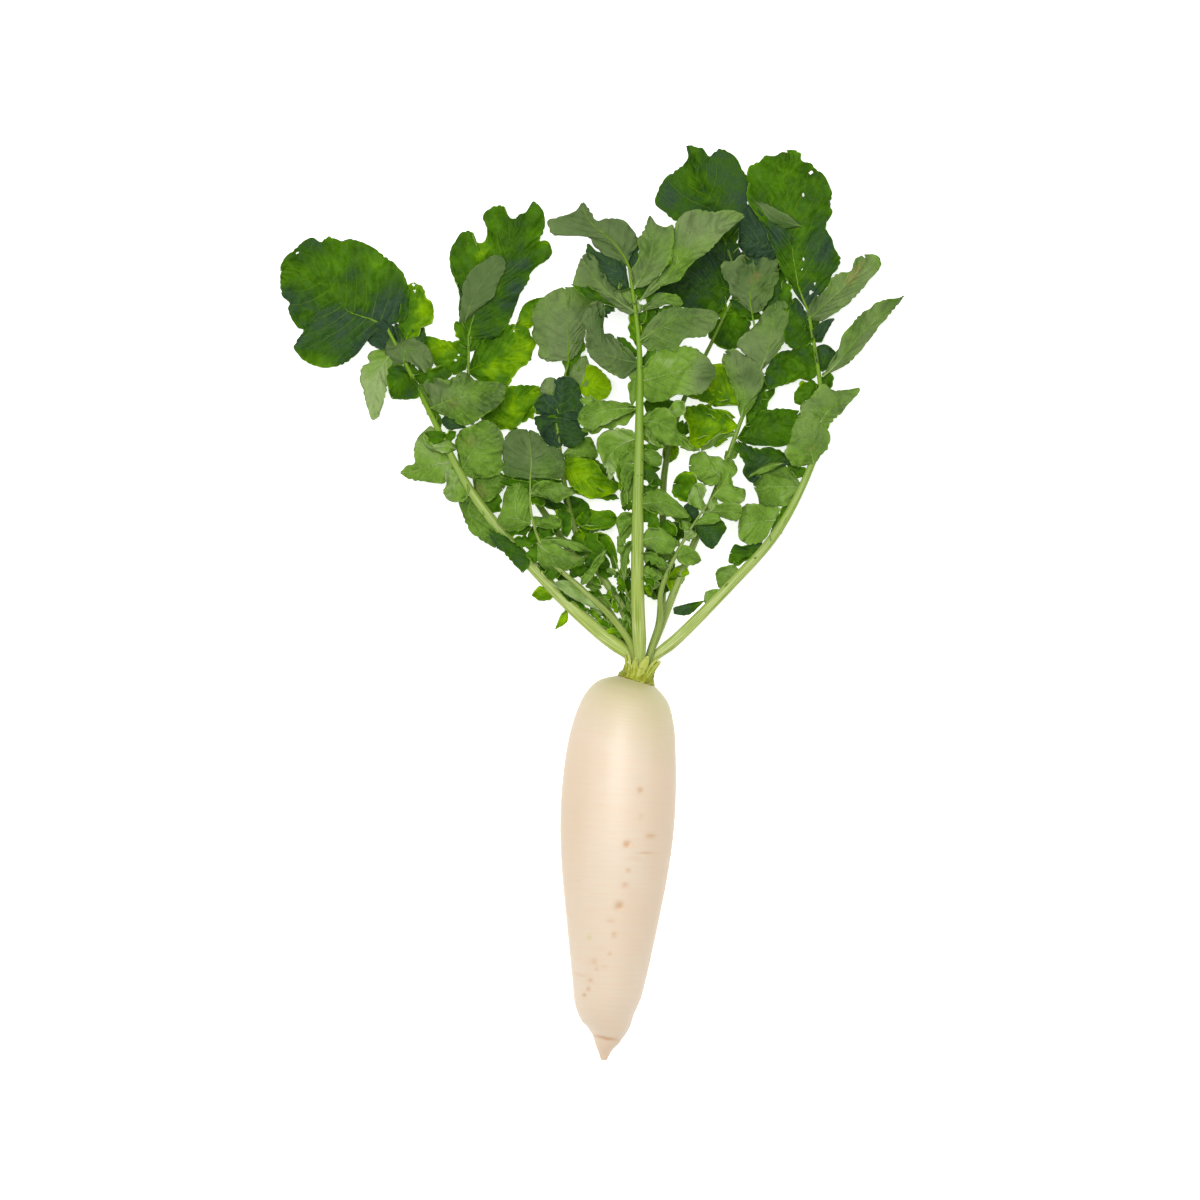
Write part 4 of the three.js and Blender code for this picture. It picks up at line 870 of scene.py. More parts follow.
# Relief, in mm: the swelling between side veins, and the width of a leaf that has it in full; the lengths
# of the margin's ripples over a radian; and wrinkles, from crest to crest.
QUILT_HEIGHT = 1.3
QUILT_START = 0.35  # share of the half width over which it rises from the midvein
FULL_QUILT_LEAF = 26
RIPPLE_LENGTHS = (5.2, 2.9)
RIPPLE_SHARE = 0.6  # how strong the short ripples are
RIPPLE_OFFSET = 1.4  # between the two margins, in radians
WRINKLE_LENGTHS = (17, 7.5)
WRINKLE_SHARE = 0.4  # how strong the short wrinkles are
WRINKLE_WAVES = 6
WRINKLE_SPREAD = (0.6, 1.7)  # the waves' lengths, in shares of the wrinkles' own
WRINKLE_BEND = 1.4
SETTLE = (0, 0.2)  # where along a blade its lift is reached
DRAPED_SETTLE = (-0.3, 0.1)

# Tone of the thin margin (a painted highlight), of wrinkles (painted light on their crests and painted
# shade in their troughs), of the midvein and of small leaves, above the blade's own, and how far one
# blade's tone is from the next one's.
MARGIN_HIGHLIGHT = 0.4
MARGIN_START = 0.93  # of the half width
WRINKLE_LIGHT_AND_SHADE = 0.14
MIDVEIN_GLOW = 0.5
MIDVEIN_BASE_GLOW = 0.5
SMALL_LEAF_TONE = 0.5
TONE_SPREAD = 0.08

# The midvein, in mm: its radius at the tip; at the base, and how much more it is there in a full-sized
# leaf; the length of such a leaf; and how far it is sunk in the blade, by the face that is up.
MIDVEIN_TIP = 0.2
MIDVEIN_BASE = (0.3, 0.5)
FULL_MIDVEIN_LEAF = 60
MIDVEIN_SINK = {UPPER: 0.25, UNDER: -0.15}


def two_sides(vein, margin):
    """The margin's left and right sides, each from the base to the tip."""
    turn = int(np.argmin(np.linalg.norm(margin - vein[-1], axis=1)))
    turn = min(max(turn, 1), len(margin) - 2)
    first, second = margin[:turn + 1], margin[turn:][::-1]
    heading = vein[-1] - vein[0]
    offset = first.mean(axis=0) - second.mean(axis=0)
    if heading[0] * offset[1] - heading[1] * offset[0] > 0:
        return first, second
    return second, first


def scalloped(side, count, depth, rng, outward):
    """A side of a margin at even steps, with rounded teeth."""
    shares = np.linspace(*MARGIN_ENDS, count)
    edge = along(side, shares)
    length = measured(side)[1][-1]
    heading = unit(np.gradient(edge, axis=0))
    normal = np.column_stack([-heading[:, 1], heading[:, 0]]) * outward
    place = shares * length / SCALLOP_LENGTH
    stray, soon = SCALLOP_SHIFT
    place = place + stray * np.sin(place * soon + rng.uniform(0, TAU)) + rng.uniform(0, 1)
    usual, change, soon = SCALLOP_SIZES
    size = usual + change * np.sin(place * soon + rng.uniform(0, TAU))
    tooth = (np.abs(np.sin(np.pi * place)) - SCALLOP_BASE) * size
    fade = np.minimum(np.minimum(shares, 1 - shares) * SCALLOP_FADE, 1)
    return edge + normal * (depth * tooth * fade)[:, None]


def side_veins(t, v, length, width, rng):
    """The side veins' count at each place: whole where one runs, half a vein later on the right."""
    veins = max(FEWEST_VEINS, length / (VEIN_PITCH[0] + VEIN_PITCH[1] * length))
    lean = VEIN_LEAN * min(width / length, WIDEST_LEAN)
    phase = veins * (t - lean * (0.75 * np.abs(v) + 0.25 * v ** 2))
    return phase + VEIN_WAVER[0] * np.sin(VEIN_WAVER[1] * t + rng.uniform(0, TAU)) + 0.5 * (v > 0)


def margin_ripple(t, v, length, rng):
    long, short = RIPPLE_LENGTHS
    ripple = np.sin(t * length / long + rng.uniform(0, TAU) + RIPPLE_OFFSET * np.sign(v))
    return ripple + RIPPLE_SHARE * np.sin(t * length / short + rng.uniform(0, TAU))


def holes_left_out(name, x, y):
    """Which cells of a blade's grid are kept, clear of the frond's holes."""
    mid_x, mid_y = [(c[1:, 1:] + c[:-1, :-1] + c[1:, :-1] + c[:-1, 1:]) / 4 for c in (x, y)]
    kept = np.ones(mid_x.shape, bool)
    for hole_x, hole_y, radius in HOLES.get(name, []):
        kept &= np.hypot(mid_x - hole_x, mid_y - hole_y) > radius
    return kept


def brown_marks(name, x, y, crease):
    stain = np.zeros_like(x)
    for stain_x, stain_y, radius, strength in STAINS.get(name, []):
        gap = np.hypot(x - stain_x, y - stain_y) / radius + 0.15 * crease
        stain = np.maximum(stain, strength * (1 - smoothstep(gap, 0.2, 1)))
    return stain


def add_blade(surface, name, blade, seed, foot_radius=None):
    """A blade and its midvein. The midvein of an end leaf goes on from its rib, with the rib's radius."""
    face, tone, lift, form_name, vein, margin = blade
    form = FORMS[form_name]
    rng = np.random.default_rng(seed)
    vein, margin = (np.array(line, float).reshape(-1, 2) for line in (vein, margin))
    left, right = two_sides(vein, margin)
    length = max(measured(left)[1][-1], measured(right)[1][-1])
    x, y = margin.T
    width = abs(np.dot(x, np.roll(y, 1)) - np.dot(y, np.roll(x, 1))) / length
    rows = int(np.clip(length / ROW_STEP, *ROWS))
    half = int(np.clip(width / 2 / COLUMN_STEP, *COLUMNS))
    depth = SCALLOP_DEPTH * min(1, length / FULL_SCALLOP_LEAF)
    edges = scalloped(left, rows, depth, rng, 1), scalloped(right, rows, depth, rng, -1)

    t = np.linspace(0, 1, rows)[:, None]
    v = np.linspace(-1, 1, 2 * half + 1)[None, :]
    v = np.sign(v) * np.abs(v) ** COLUMN_CROWDING
    middle = along(vein, t[:, 0] ** VEIN_SLOPE)[:, None]
    edge = np.where(v[..., None] < 0, edges[0][:, None], edges[1][:, None])
    plan = middle + (edge - middle) * np.abs(v)[..., None]
    x, y = plan[..., 0], plan[..., 1]
    out = np.linalg.norm(plan - middle, axis=2)

    settle = smoothstep(t, *(DRAPED_SETTLE if form_name == "draped" else SETTLE))
    phase = side_veins(t, v, length, width, rng)
    quilt = face * QUILT_HEIGHT * (np.abs(np.sin(np.pi * phase)) ** 0.7 - 0.6)
    quilt = quilt * smoothstep(np.abs(v), 0, QUILT_START) * min(1, width / FULL_QUILT_LEAF)
    ripple = margin_ripple(t, v, length, rng)
    crease = wrinkles(x, y, rng, WRINKLE_LENGTHS[0])
    crease = crease + WRINKLE_SHARE * wrinkles(x, y, rng, WRINKLE_LENGTHS[1])
    rise = (lift * settle + form["arch"] * np.sin(np.pi * t) + form["fold"] * out
            - form["tilt"] * out * np.sign(v) + form["cup"] * v ** 2 * settle
            + form["wave"] * v ** 2 * ripple + form["crumple"] * crease * settle + quilt)
    points = as_seen(np.dstack([x, y, in_layer(FRONDS[name], x, y, rise)]))
    stain = brown_marks(name, x, y, crease)
    # Painted highlight along the margin, and painted light on the wrinkles' crests with painted shade in
    # their troughs.
    glow = MARGIN_HIGHLIGHT * smoothstep(np.abs(v), MARGIN_START, 1)
    shade = tone + TONE_SPREAD * rng.normal() + glow + WRINKLE_LIGHT_AND_SHADE * crease
    # Spots of painted shade and painted light from SHADES.
    for shade_x, shade_y, radius, amount in SHADES.get(name, []):
        shade = shade + amount * np.exp(-(((x - shade_x) ** 2 + (y - shade_y) ** 2) / radius ** 2))
    add_shell(surface, points, holes_left_out(name, x, y), face, map_pairs(phase, v),
              shade.ravel(), stain.ravel())

    least, more = MIDVEIN_BASE
    start = foot_radius or least + more * min(1, length / FULL_MIDVEIN_LEAF)
    radii = MIDVEIN_TIP + (start - MIDVEIN_TIP) * (1 - t[:, 0] ** 0.6)
    base_glow = MIDVEIN_BASE_GLOW * (1 - smoothstep(t[:, 0], -0.2, 0.6))
    vein_tone = shade[:, half] + MIDVEIN_GLOW + base_glow
    own = BLADE_UPPER if face == UPPER else BLADE_UNDER
    add_tube(surface, points[:, half] - UP * MIDVEIN_SINK[face], radii, VEIN_SIDES, vein_tone,
             material=STALK if foot_radius else own)


# The lobes of a small ragged leaf: place along it, and half width in shares of the leaf's width.
RAGGED_LOBES = [(0.04, 0.14), (0.17, 0.36), (0.29, 0.54), (0.41, 0.42), (0.53, 0.54), (0.65, 0.38),
                (0.77, 0.44), (0.9, 0.22)]
RAGGED_SPREAD = (0.65, 1.2)
RAGGED_BEND = 0.25  # the most that it bends, in shares of its width


def ragged_leaf(start, tip, width, rng):
    """Midvein and margin of a small leaf with uneven lobes, from its base to its tip."""
    start, tip = np.array(start, float), np.array(tip, float)
    across = np.array([start[1] - tip[1], tip[0] - start[0]]) / np.linalg.norm(tip - start) * width
    bend = across * rng.uniform(-RAGGED_BEND, RAGGED_BEND)

    def middle(share):
        return start + (tip - start) * share + bend * math.sin(math.pi * share)

    def side(way):
        return [middle(share) + across * lobe * way * rng.uniform(*RAGGED_SPREAD)
                for share, lobe in RAGGED_LOBES]

    return [middle(share) for share in (0, 0.35, 0.7, 1)], side(1) + [tip] + side(-1)[::-1]


# The crowd's leaves: the way they point at its right edge and how much further round at its left, in
# degrees from +X; how far they stray from that; length in mm; width, as a share of it; tone; and lift.
CROWD_TURN = (70, 90)
CROWD_SCATTER = 45
CROWD_LENGTHS = (7, 12)
CROWD_WIDTHS = (0.4, 0.6)
CROWD_TONES = (-0.4, 0.3)
CROWD_LIFT = 4


def crowd(rng):
    """Rows of the small leaves that crowd the young frond."""
    levels, lefts, rights = np.array(CROWD, float).T
    for number in range(CROWD_COUNT):
        y = levels[0] + (levels[-1] - levels[0]) * (number + 0.5) / CROWD_COUNT
        share = rng.uniform(0, 1)
        x = np.interp(y, levels, rights) * (1 - share) + np.interp(y, levels, lefts) * share
        turn = CROWD_TURN[0] + CROWD_TURN[1] * share + rng.uniform(-CROWD_SCATTER, CROWD_SCATTER)
        angle, length = math.radians(turn), rng.uniform(*CROWD_LENGTHS)
        tip_x, tip_y = x + length * math.cos(angle), y + length * math.sin(angle)
        face = UPPER if number % 3 else UNDER
        tone, lift = rng.uniform(*CROWD_TONES), rng.uniform(-CROWD_LIFT, CROWD_LIFT)
        yield face, tone, lift, x, y, tip_x, tip_y, length * rng.uniform(*CROWD_WIDTHS)


# Ribs, in mm: how near the end leaf's midvein they stop, over what length the foot comes out of the
# crown, and how high their ridges are, as a share of the radius.
END_LEAF_GAP = 12
RIB_CLEAR = 60
RIB_RIDGES = 0.05
RIB_SLIMMING = 0.35  # how much slimmer a rib gets where blades run down it
SLIMMING_START = 0.4  # of the rib's length


def rib_line(name, frond):
    """The rib's line in space, from its foot to the midvein of the frond's end leaf."""
    path = np.array(frond["path"], float)
    if BLADES[name]:
        meeting = np.array(BLADES[name][0][4][:2], float)
        gone = np.cumsum(np.linalg.norm(np.diff(path, axis=0, prepend=path[:1]), axis=1))
        gaps = np.linalg.norm(path - meeting, axis=1)
        clear = (gone < gone[np.argmin(gaps)] - END_LEAF_GAP) & (gaps > END_LEAF_GAP)
        path = np.vstack([path[clear], meeting])
    distance = np.where(path[:, 1] < CROWN_CENTRE[1], 0, from_crown(path[:, 0], path[:, 1]))
    return np.column_stack([path, frond_height(frond, distance)])


def rib_radii(frond, at, whole):
    full, tip, taper = frond["girth"]
    radii = tip + (full - tip) * (1 - (at / whole) ** taper)
    radii = frond["foot"] + (radii - frond["foot"]) * np.minimum(at / FOOT_LENGTH, 1)
    return radii * (1 - RIB_SLIMMING * smoothstep(at, SLIMMING_START * at[-1], at[-1]))


def add_rib(surface, name, frond):
    """The frond's rib, up to its end leaf. Gives back the radius that it ends with."""
    line, travelled = measured(rib_line(name, frond))
    whole = measured(np.array(frond["path"], float))[1][-1]
    at = np.linspace(0, travelled[-1], int(travelled[-1] / RIB_STEP))
    centres = places(line, travelled, at)
    centres = centres + (as_seen(centres) - centres) * smoothstep(at, 0, RIB_CLEAR)[:, None]
    radii = rib_radii(frond, at, whole)
    tone = np.full(len(at), -float(frond["shade"]))
    add_tube(surface, centres, radii, RIB_SIDES, tone, flatness=RIB_FLATNESS, ridges=RIB_RIDGES)
    return radii[-1]


# Seeds: how far apart two fronds' are, the first frond's, and how far its small leaves' are from its own.
SEED_STEP = 100
FIRST_SEED = 7
SMALL_LEAF_SEED = 50


def make_frond(name, frond, materials, seed):
    surface = Surface()
    end_radius = add_rib(surface, name, frond)
    rng = np.random.default_rng(CROWD_SEED + seed)
    for number, blade in enumerate(BLADES[name]):
        add_blade(surface, name, blade, seed + number, None if number else end_radius)
    small = SMALL_LEAVES.get(name) or crowd(rng)
    for number, (face, tone, lift, x, y, tip_x, tip_y, width) in enumerate(small, seed + SMALL_LEAF_SEED):
        leaf = ragged_leaf((x, y), (tip_x, tip_y), width, rng)
        add_blade(surface, name, (face, tone + SMALL_LEAF_TONE, lift, "ruffled", *leaf), number)
    piece = surface.piece(name.replace("frond", "leaf"), materials)
    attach(piece, "root")
    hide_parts(name)
    return piece


# ---- Root ----

# Pits of the side roots on the upper side: x, y, half width, half height, depth, all in mm, and how brown.
PITS = [
    (14, 13.5, 1.7, 1.5, 0.5, 0.7), (15.5, -4.5, 1.8, 1.3, 0.3, 0.3), (22.5, -17.5, 3, 1.2, 0.5, 0.6),
    (7, -23.5, 2.3, 2.0, 0.7, 0.8), (9, -41, 1.6, 1, 0.4, 0.6), (7, -51, 2.2, 1.1, 0.5, 0.7),
    (4, -65.5, 2.6, 2.4, 0.8, 0.7), (-1.5, -76, 2.8, 1.4, 0.4, 0.35), (1.5, -85.5, 1.7, 1.4, 0.5, 0.6),
    (-15, -88, 1.4, 1.0, 0.1, -0.7), (-6.5, -95, 3.6, 0.7, 0.3, 0.35), (-1, -98.5, 1.2, 0.8, 0.3, 0.45),
    (-11, -104.5, 2.0, 1.6, 0.3, 0.4), (-4, -107, 2.6, 0.7, 0.3, 0.35), (-9, -109, 1.3, 0.9, 0.4, 0.45),
    (-18, -114.5, 4.2, 0.6, 0.4, 0.5), (-13, -118, 1.5, 0.9, 0.6, 0.7), (-14, -124, 1.2, 1.6, 0.4, 0.5),
    (-16.5, -128.5, 1.2, 1.2, 0.4, 0.6), (20, -29, 5, 0.7, 0.4, 0.45), (13, -32.5, 4, 0.6, 0.4, 0.4),
]
PIT_LIP = 0.25  # the raised lip round a pit, as a share of its depth
PIT_LIP_RADIUS = 1.7
FAR_SIDE_SHIFT = 4  # how much lower the pits of the far side are, in mm
TAIL_RING = (-157.6, 1.1, 0.35)  # y, half height and depth of the groove above the tail's nub
TAIL_RING_SLOPE = 0.13
TAIL_SCAB = (-8, -157.2, 30)  # where side roots broke off
TAIL_STUBS = [(1.6, 200), (1.2, 250), (1.1, 160)]  # their stubs: length in mm and direction in degrees
STUB_RISE = 0.2  # how steeply they rise
STUB_RADII = (0.75, 0.25)  # at the base and at the tip
STUB_BROWN = 0.5
ROOT_INSET = 0.12  # how far inside the CAD's surface the skin lies, in mm
DEEPEST_DENT = 0.3  # of the radius
TAIL_CAP = (0.06, 0.4, 0.75)  # rings that close the tail, as shares of its first radius
TAIL_TIP = 0.2  # how far the tip stands out beyond them, in mm


def root_marks(points, above_side):
    """How deep each place on the root is dented, in mm, and how brown it is there."""
    x, y = points[..., 0], points[..., 1]
    wander = 0.5 * np.sin(y * 0.9) + 0.4 * np.sin(x * 0.7 + 1)
    dent, brown = np.zeros_like(x), np.zeros_like(x)
    for px, py, half_width, half_height, depth, stain in PITS:
        gap = ((x - px + 0.3 * wander) / half_width) ** 2 + ((y - py) / half_height) ** 2
        lip = PIT_LIP * np.exp(-(np.sqrt(gap) - PIT_LIP_RADIUS) ** 2 / 0.2)
        dent += above_side * depth * (np.exp(-gap) - lip)
        brown += above_side * stain * np.exp(-0.8 * gap)
        far = ((x + px) / half_width) ** 2 + ((y - py + FAR_SIDE_SHIFT) / half_height) ** 2
        dent += (1 - above_side) * depth * np.exp(-far)
        brown += (1 - above_side) * stain * np.exp(-0.8 * far)
    level, half, depth = TAIL_RING
    ring = np.exp(-((y - level + TAIL_RING_SLOPE * x + 0.4 * wander) / half) ** 2)
    fine = 0.03 * np.sin(y * 2.1 + 1.6 * np.sin(x * 0.12) + 4 * np.sin(y * 0.11) + wander)
    fine += 0.02 * np.sin(y * 5.3 + 0.2 * x + 3 * np.sin(y * 0.17))
    return dent + depth * ring + fine, brown + 0.75 * ring * (0.6 + 0.4 * np.cos(x * 0.25))


def add_tail_stubs(surface):
    x, y, z = TAIL_SCAB
    share = np.linspace(0, 1, STUB_STEPS)[:, None]
    tone = np.full(STUB_STEPS, STUB_BROWN)
    for number, (reach, turn) in enumerate(TAIL_STUBS):
        angle = math.radians(turn)
        heading = np.array([math.cos(angle), math.sin(angle), STUB_RISE])
        line = np.array([x, y, z + number]) + share * reach * heading
        add_tube(surface, line, np.linspace(*STUB_RADII, STUB_STEPS), VEIN_SIDES, tone, material=0)


def make_root(material):
    stations = spline(ROOT_STATIONS, np.linspace(0, 1, ROOT_RINGS))
    centres, radii = stations[:, :3], stations[:, 3]
    heading, across, above = line_frame(centres)
    turns = np.arange(ROOT_SIDES) * TAU / ROOT_SIDES
    ring = np.cos(turns)[None, :, None] * across[:, None] + np.sin(turns)[None, :, None] * above[:, None]
    points = centres[:, None] + radii[:, None, None] * ring
    dent, brown = root_marks(points, smoothstep(np.sin(turns)[None, :], -0.2, 0.2))
    points -= np.minimum(dent + ROOT_INSET, radii[:, None] * DEEPEST_DENT)[..., None] * ring
    tip = centres[0] - heading[0] * TAIL_TIP
    points = np.concatenate([np.array([tip + (points[0] - tip) * share for share in TAIL_CAP]), points])
    brown = np.vstack([np.repeat(brown[:1], len(TAIL_CAP), axis=0), brown])
    points[..., 2] = np.maximum(points[..., 2], 0)
    rows = len(points)
    surface = Surface()
    surface.add(points.reshape(-1, 3), rod_quads(rows, ROOT_SIDES), 0,
                map_pairs(np.linspace(0, 1, rows)[:, None], turns[None] / TAU), brown.ravel())
    add_tail_stubs(surface)
    piece = surface.piece("radish_root", [material])
    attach(piece, "root")
    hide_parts("root")
    return piece


# ---- Crown ----

# The crown's neck: distance along its axis from the root's end, and radius, in mm.
CROWN_RINGS = [(-1.5, 12.4), (0.3, 12.9), (1.6, 12.2), (3.4, 10), (5.4, 8.7), (9, 8.2), (11.5, 7.8), (13, 6)]
CROWN_RIDGES = 0.02
CROWN_SEED = 5

# Rings of dry leaf bases: distance along the crown, distance from its axis, how many, length, width, tone.
CROWN_SHEATHS = [(-0.5, 13.1, 17, 3, 7.5, 0.3), (0.4, 12.7, 13, 3.6, 8.5, 0.55), (1.8, 11.2, 11, 4, 8, 0.6),
                 (3.4, 9.8, 8, 5, 8, 0.4), (5.4, 8.7, 7, 6, 7.5, 0.3)]

# How one dry base differs from the next: its place, in shares of the step between two; its length, in shares
# of the ring's; how far its tip leans out, in degrees; the curl of its tip; and its tone.
SHEATH_SHIFT = 0.3
SHEATH_LENGTHS = (0.7, 1.2)
SHEATH_LEANS = (-32, -12)
SHEATH_CURLS = (-0.5, 1)
SHEATH_TONES = 0.4

# Young scales and curled leaflets: distance along the crown, angle round it from +X towards +Z, distance from
# its axis, length, width, how far the tip leans out in degrees, curl of the tip in mm, and tone. The last is
# the dark scar of a lost leaf.
CROWN_SCALES = [
    (1, 70, 12.9, 12, 9.5, 12, 1, 0.1), (0.8, 108, 12.9, 10, 9, 10, 1, 0.6), (1.2, 44, 12.3, 9, 8, -6, 1, 0),
    (3, 86, 13.2, 17, 6.5, 25, 2.5, 0.95), (2.4, 60, 12.8, 17, 4.6, 26, 2, 0.5),
    (2.6, 102, 13, 14, 5, 25, 3, 0.7), (4, 66, 12.9, 17, 2.6, 26, 3, 0.7), (4, 56, 12.8, 13, 2.6, 14, 2, 0),
    (3, 122, 12.6, 15, 2.4, 18, 4, 0.8), (3, 138, 12.2, 12, 4, 10, 2, 0.3),
    (2, 152, 11.6, 7, 7, -6, 0.5, 0.4), (2, 26, 11.6, 8, 6, -4, 0.5, -0.1),
    (6.5, 10, 10, 2.4, 2.4, 10, 0.3, -3),
]
SCALE_HOLLOW = 1.5  # how far a scale's margins lie behind its middle, in mm
SCALE_RIPPLE = 0.35
SCALE_SWAY = 0.08  # of its length
SCALE_FOOT_SHADE = 1.6  # how much darker a scale is where it leaves the root
SCALE_STREAKS = 0.3


def crown_frame():
    foot, before = spline(ROOT_STATIONS, [1.0, 0.99])[:, :3]
    axis = unit(foot - before)
    across = unit(np.cross(axis, UP))
    return foot, axis, across, np.cross(across, axis)


def add_scale(surface, place, rng):
    """One scale or leaflet, given as in the rows of CROWN_SCALES."""
    start, angle, radius, length, width, lean, curl, tone = place
    foot, axis, across, above = crown_frame()
    turn, tip = math.radians(angle), math.radians(lean)
    outward = across * math.cos(turn) + above * math.sin(turn)
    heading = axis * math.cos(tip) + outward * math.sin(tip)
    sideways = unit(np.cross(heading, outward))
    base = foot + axis * start + outward * radius
    u = np.linspace(0, 1, SCALE_ROWS)[:, None, None]
    v = np.linspace(-1, 1, SCALE_COLUMNS)[None, :, None]
    shape = np.maximum(1 - u ** 2.4, 0.01) ** 0.5 * (1 + 0.1 * np.sin(9 * u + rng.uniform(0, TAU)))
    wave = SCALE_RIPPLE * np.sin(11 * u + 2 * v + rng.uniform(0, TAU)) * v ** 2
    sway = SCALE_SWAY * length * np.sin(3 * u + rng.uniform(0, TAU)) * u
    points = (base + heading * length * u + sideways * (0.5 * width * v * shape + sway)
              + outward * (curl * u ** 2 - SCALE_HOLLOW * v ** 2 * (1 - 0.5 * u) + wave))
    u, v = u[..., 0], v[..., 0]
    foot_shade = SCALE_FOOT_SHADE * (1 - smoothstep(start + u * length, -0.6, 0.5))
    shade = (tone - foot_shade + SCALE_STREAKS * np.sin(7 * v + angle)).ravel()
    kept = np.ones((SCALE_ROWS - 1, SCALE_COLUMNS - 1), bool)
    add_shell(surface, points, kept, UPPER, map_pairs(u * 2, v), shade, np.zeros_like(shade))


def make_crown(materials):
    foot, axis, _, _ = crown_frame()
    surface = Surface()
    rings = spline(CROWN_RINGS, np.linspace(0, 1, CROWN_STEPS))
    add_tube(surface, foot + rings[:, :1] * axis, rings[:, 1], CROWN_SIDES, np.zeros(CROWN_STEPS),
             ridges=CROWN_RIDGES)
    rng = np.random.default_rng(CROWN_SEED)
    for start, radius, count, length, width, tone in CROWN_SHEATHS:
        for number in range(count):
            angle = 360 * (number + rng.uniform(-SHEATH_SHIFT, SHEATH_SHIFT)) / count
            own_length = length * rng.uniform(*SHEATH_LENGTHS)
            lean, curl = rng.uniform(*SHEATH_LEANS), rng.uniform(*SHEATH_CURLS)
            own_tone = tone + rng.uniform(-SHEATH_TONES, SHEATH_TONES)
            add_scale(surface, (start, angle, radius, own_length, width, lean, curl, own_tone), rng)
    for place in CROWN_SCALES:
        add_scale(surface, place, rng)
    piece = surface.piece("radish_crown", materials)
    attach(piece, "root")
    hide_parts("crown")
    return piece


# ---- Materials ----

class Paint:
    """A material's node tree being put together, by methods that mostly give back a new node's output."""

    def __init__(self, name):
        self.material = bpy.data.materials.new(name)
        self.material.use_nodes = True
        self.tree = self.material.node_tree
        self.tree.nodes.clear()

    def add(self, kind, inputs=(), **settings):
        node = self.tree.nodes.new("ShaderNode" + kind)
        for key, value in settings.items():
            setattr(node, key, value)
        for key, value in dict(inputs).items():
            socket = node.inputs[key]
            if isinstance(value, bpy.types.NodeSocket):
                self.tree.links.new(value, socket)
            else:
                socket.default_value = value
        return node

    def calc(self, operation, *values, clamp=False):
        return self.add("Math", dict(enumerate(values)), operation=operation, use_clamp=clamp).outputs[0]

    def scaled(self, value, factor, offset, clamp=False):
        return self.calc("MULTIPLY_ADD", value, factor, offset, clamp=clamp)

    def ranged(self, value, start, stop, low, high):
        """Goes evenly from low to high while the value goes from start to stop."""
        return self.add("MapRange", {0: value, 1: start, 2: stop, 3: low, 4: high}).outputs[0]

    def blend(self, share, first, second):
        return self.add("Mix", {0: share, 6: first, 7: second}, data_type="RGBA").outputs[2]

    def ramp(self, value, shades):
        """Colours at even steps of the value from 0 to 1."""
        node = self.add("ValToRGB", {0: value})
        node.color_ramp.elements[0].color = shades[0]
        node.color_ramp.elements[1].color = shades[-1]
        for number in range(1, len(shades) - 1):
            node.color_ramp.elements.new(number / (len(shades) - 1)).color = shades[number]
        return node.outputs[0]

    def attribute(self, name):
        return self.add("Attribute", attribute_name=name).outputs["Fac"]

    def place(self):
        return self.add("TexCoord").outputs["Object"]

    def vein_map(self):
        return self.add("UVMap", uv_map="veins").outputs[0]

    def axes(self, vector):
        return self.add("SeparateXYZ", {0: vector}).outputs

    def noise(self, vector, scale, detail, **more):
        return self.add("TexNoise", {"Vector": vector, "Scale": scale, "Detail": detail, **more}).outputs[0]

    def stretched_noise(self, vector, scale, detail):
        """Noise that is drawn out by a scale of its own along each axis."""
        stretched = self.add("Mapping", {"Vector": vector, "Scale": scale}).outputs[0]
        return self.noise(stretched, 1.0, detail)

    def bump(self, strength, distance, height, under=None, invert=False):
        inputs = {"Strength": strength, "Distance": distance, "Height": height}
        if under is not None:
            inputs["Normal"] = under
        return self.add("Bump", inputs, invert=invert).outputs[0]

    def skin(self, base, roughness, normal, **more):
        inputs = {"Base Color": base, "Roughness": roughness, "Normal": normal, **more}
        return self.add("BsdfPrincipled", inputs).outputs[0]

    def finish(self, shader):
        self.add("OutputMaterial", {"Surface": shader})
        return self.material


def colour(red, green, blue):
    """A colour given in screen values from 0 to 255, as light values."""
    def light(value):
        value /= 255
        return value / 12.92 if value <= 0.04045 else ((value + 0.055) / 1.055) ** 2.4
    return (light(red), light(green), light(blue), 1)


# Looks of the leaves and stalks. Scales of noise are in waves to a metre.
SIDE_VEIN_WIDTH = 0.085  # of the distance between two
VEIN_NET_SCALE = 300.0
PATCH_SCALE = 42.0
HAZE_SCALE = 22.0
HAZE_RISE = (0.19, 0.3)  # metres in y over which the haze gets its full strength
BLISTER_SCALE = 150.0
LEAF_GLOSS = 0.07
LEAF_GLOW = 0.1  # share of the light that comes through
STALK_GLOSS = 0.2
STALK_ROUGHNESS = 0.38
STALK_FAR = (0.12, 0.28)  # metres in y over which a stalk takes the colour of its far end
STAIN_COLOUR = colour(150, 132, 78)
SHADED_STALK = colour(84, 112, 14)

# Looks of the root, with the metres over which its flanks take their painted shade, and its shoulder and
# its tail their colours.
ROOT_COLOURS = dict(
    skin=colour(234, 217, 196), patch=colour(230, 208, 180), ring=colour(232, 206, 174),
    flank_shade=colour(214, 186, 150), shoulder=colour(206, 198, 148), tail=colour(226, 190, 150),
    pit=colour(200, 142, 76), moss=colour(196, 200, 110))
FLANK_SHADE_BAND = (0.018, 0.038)
SHOULDER_BAND = (0.035, 0.098)
SHOULDER_SLANT = 0.45
TAIL_BAND = (-0.154, -0.168)
ROOT_ROUGHNESS = 0.46
ROOT_DEPTH = (0.004, 0.003, 0.002)  # how deep red, green and blue light goes in, in metres


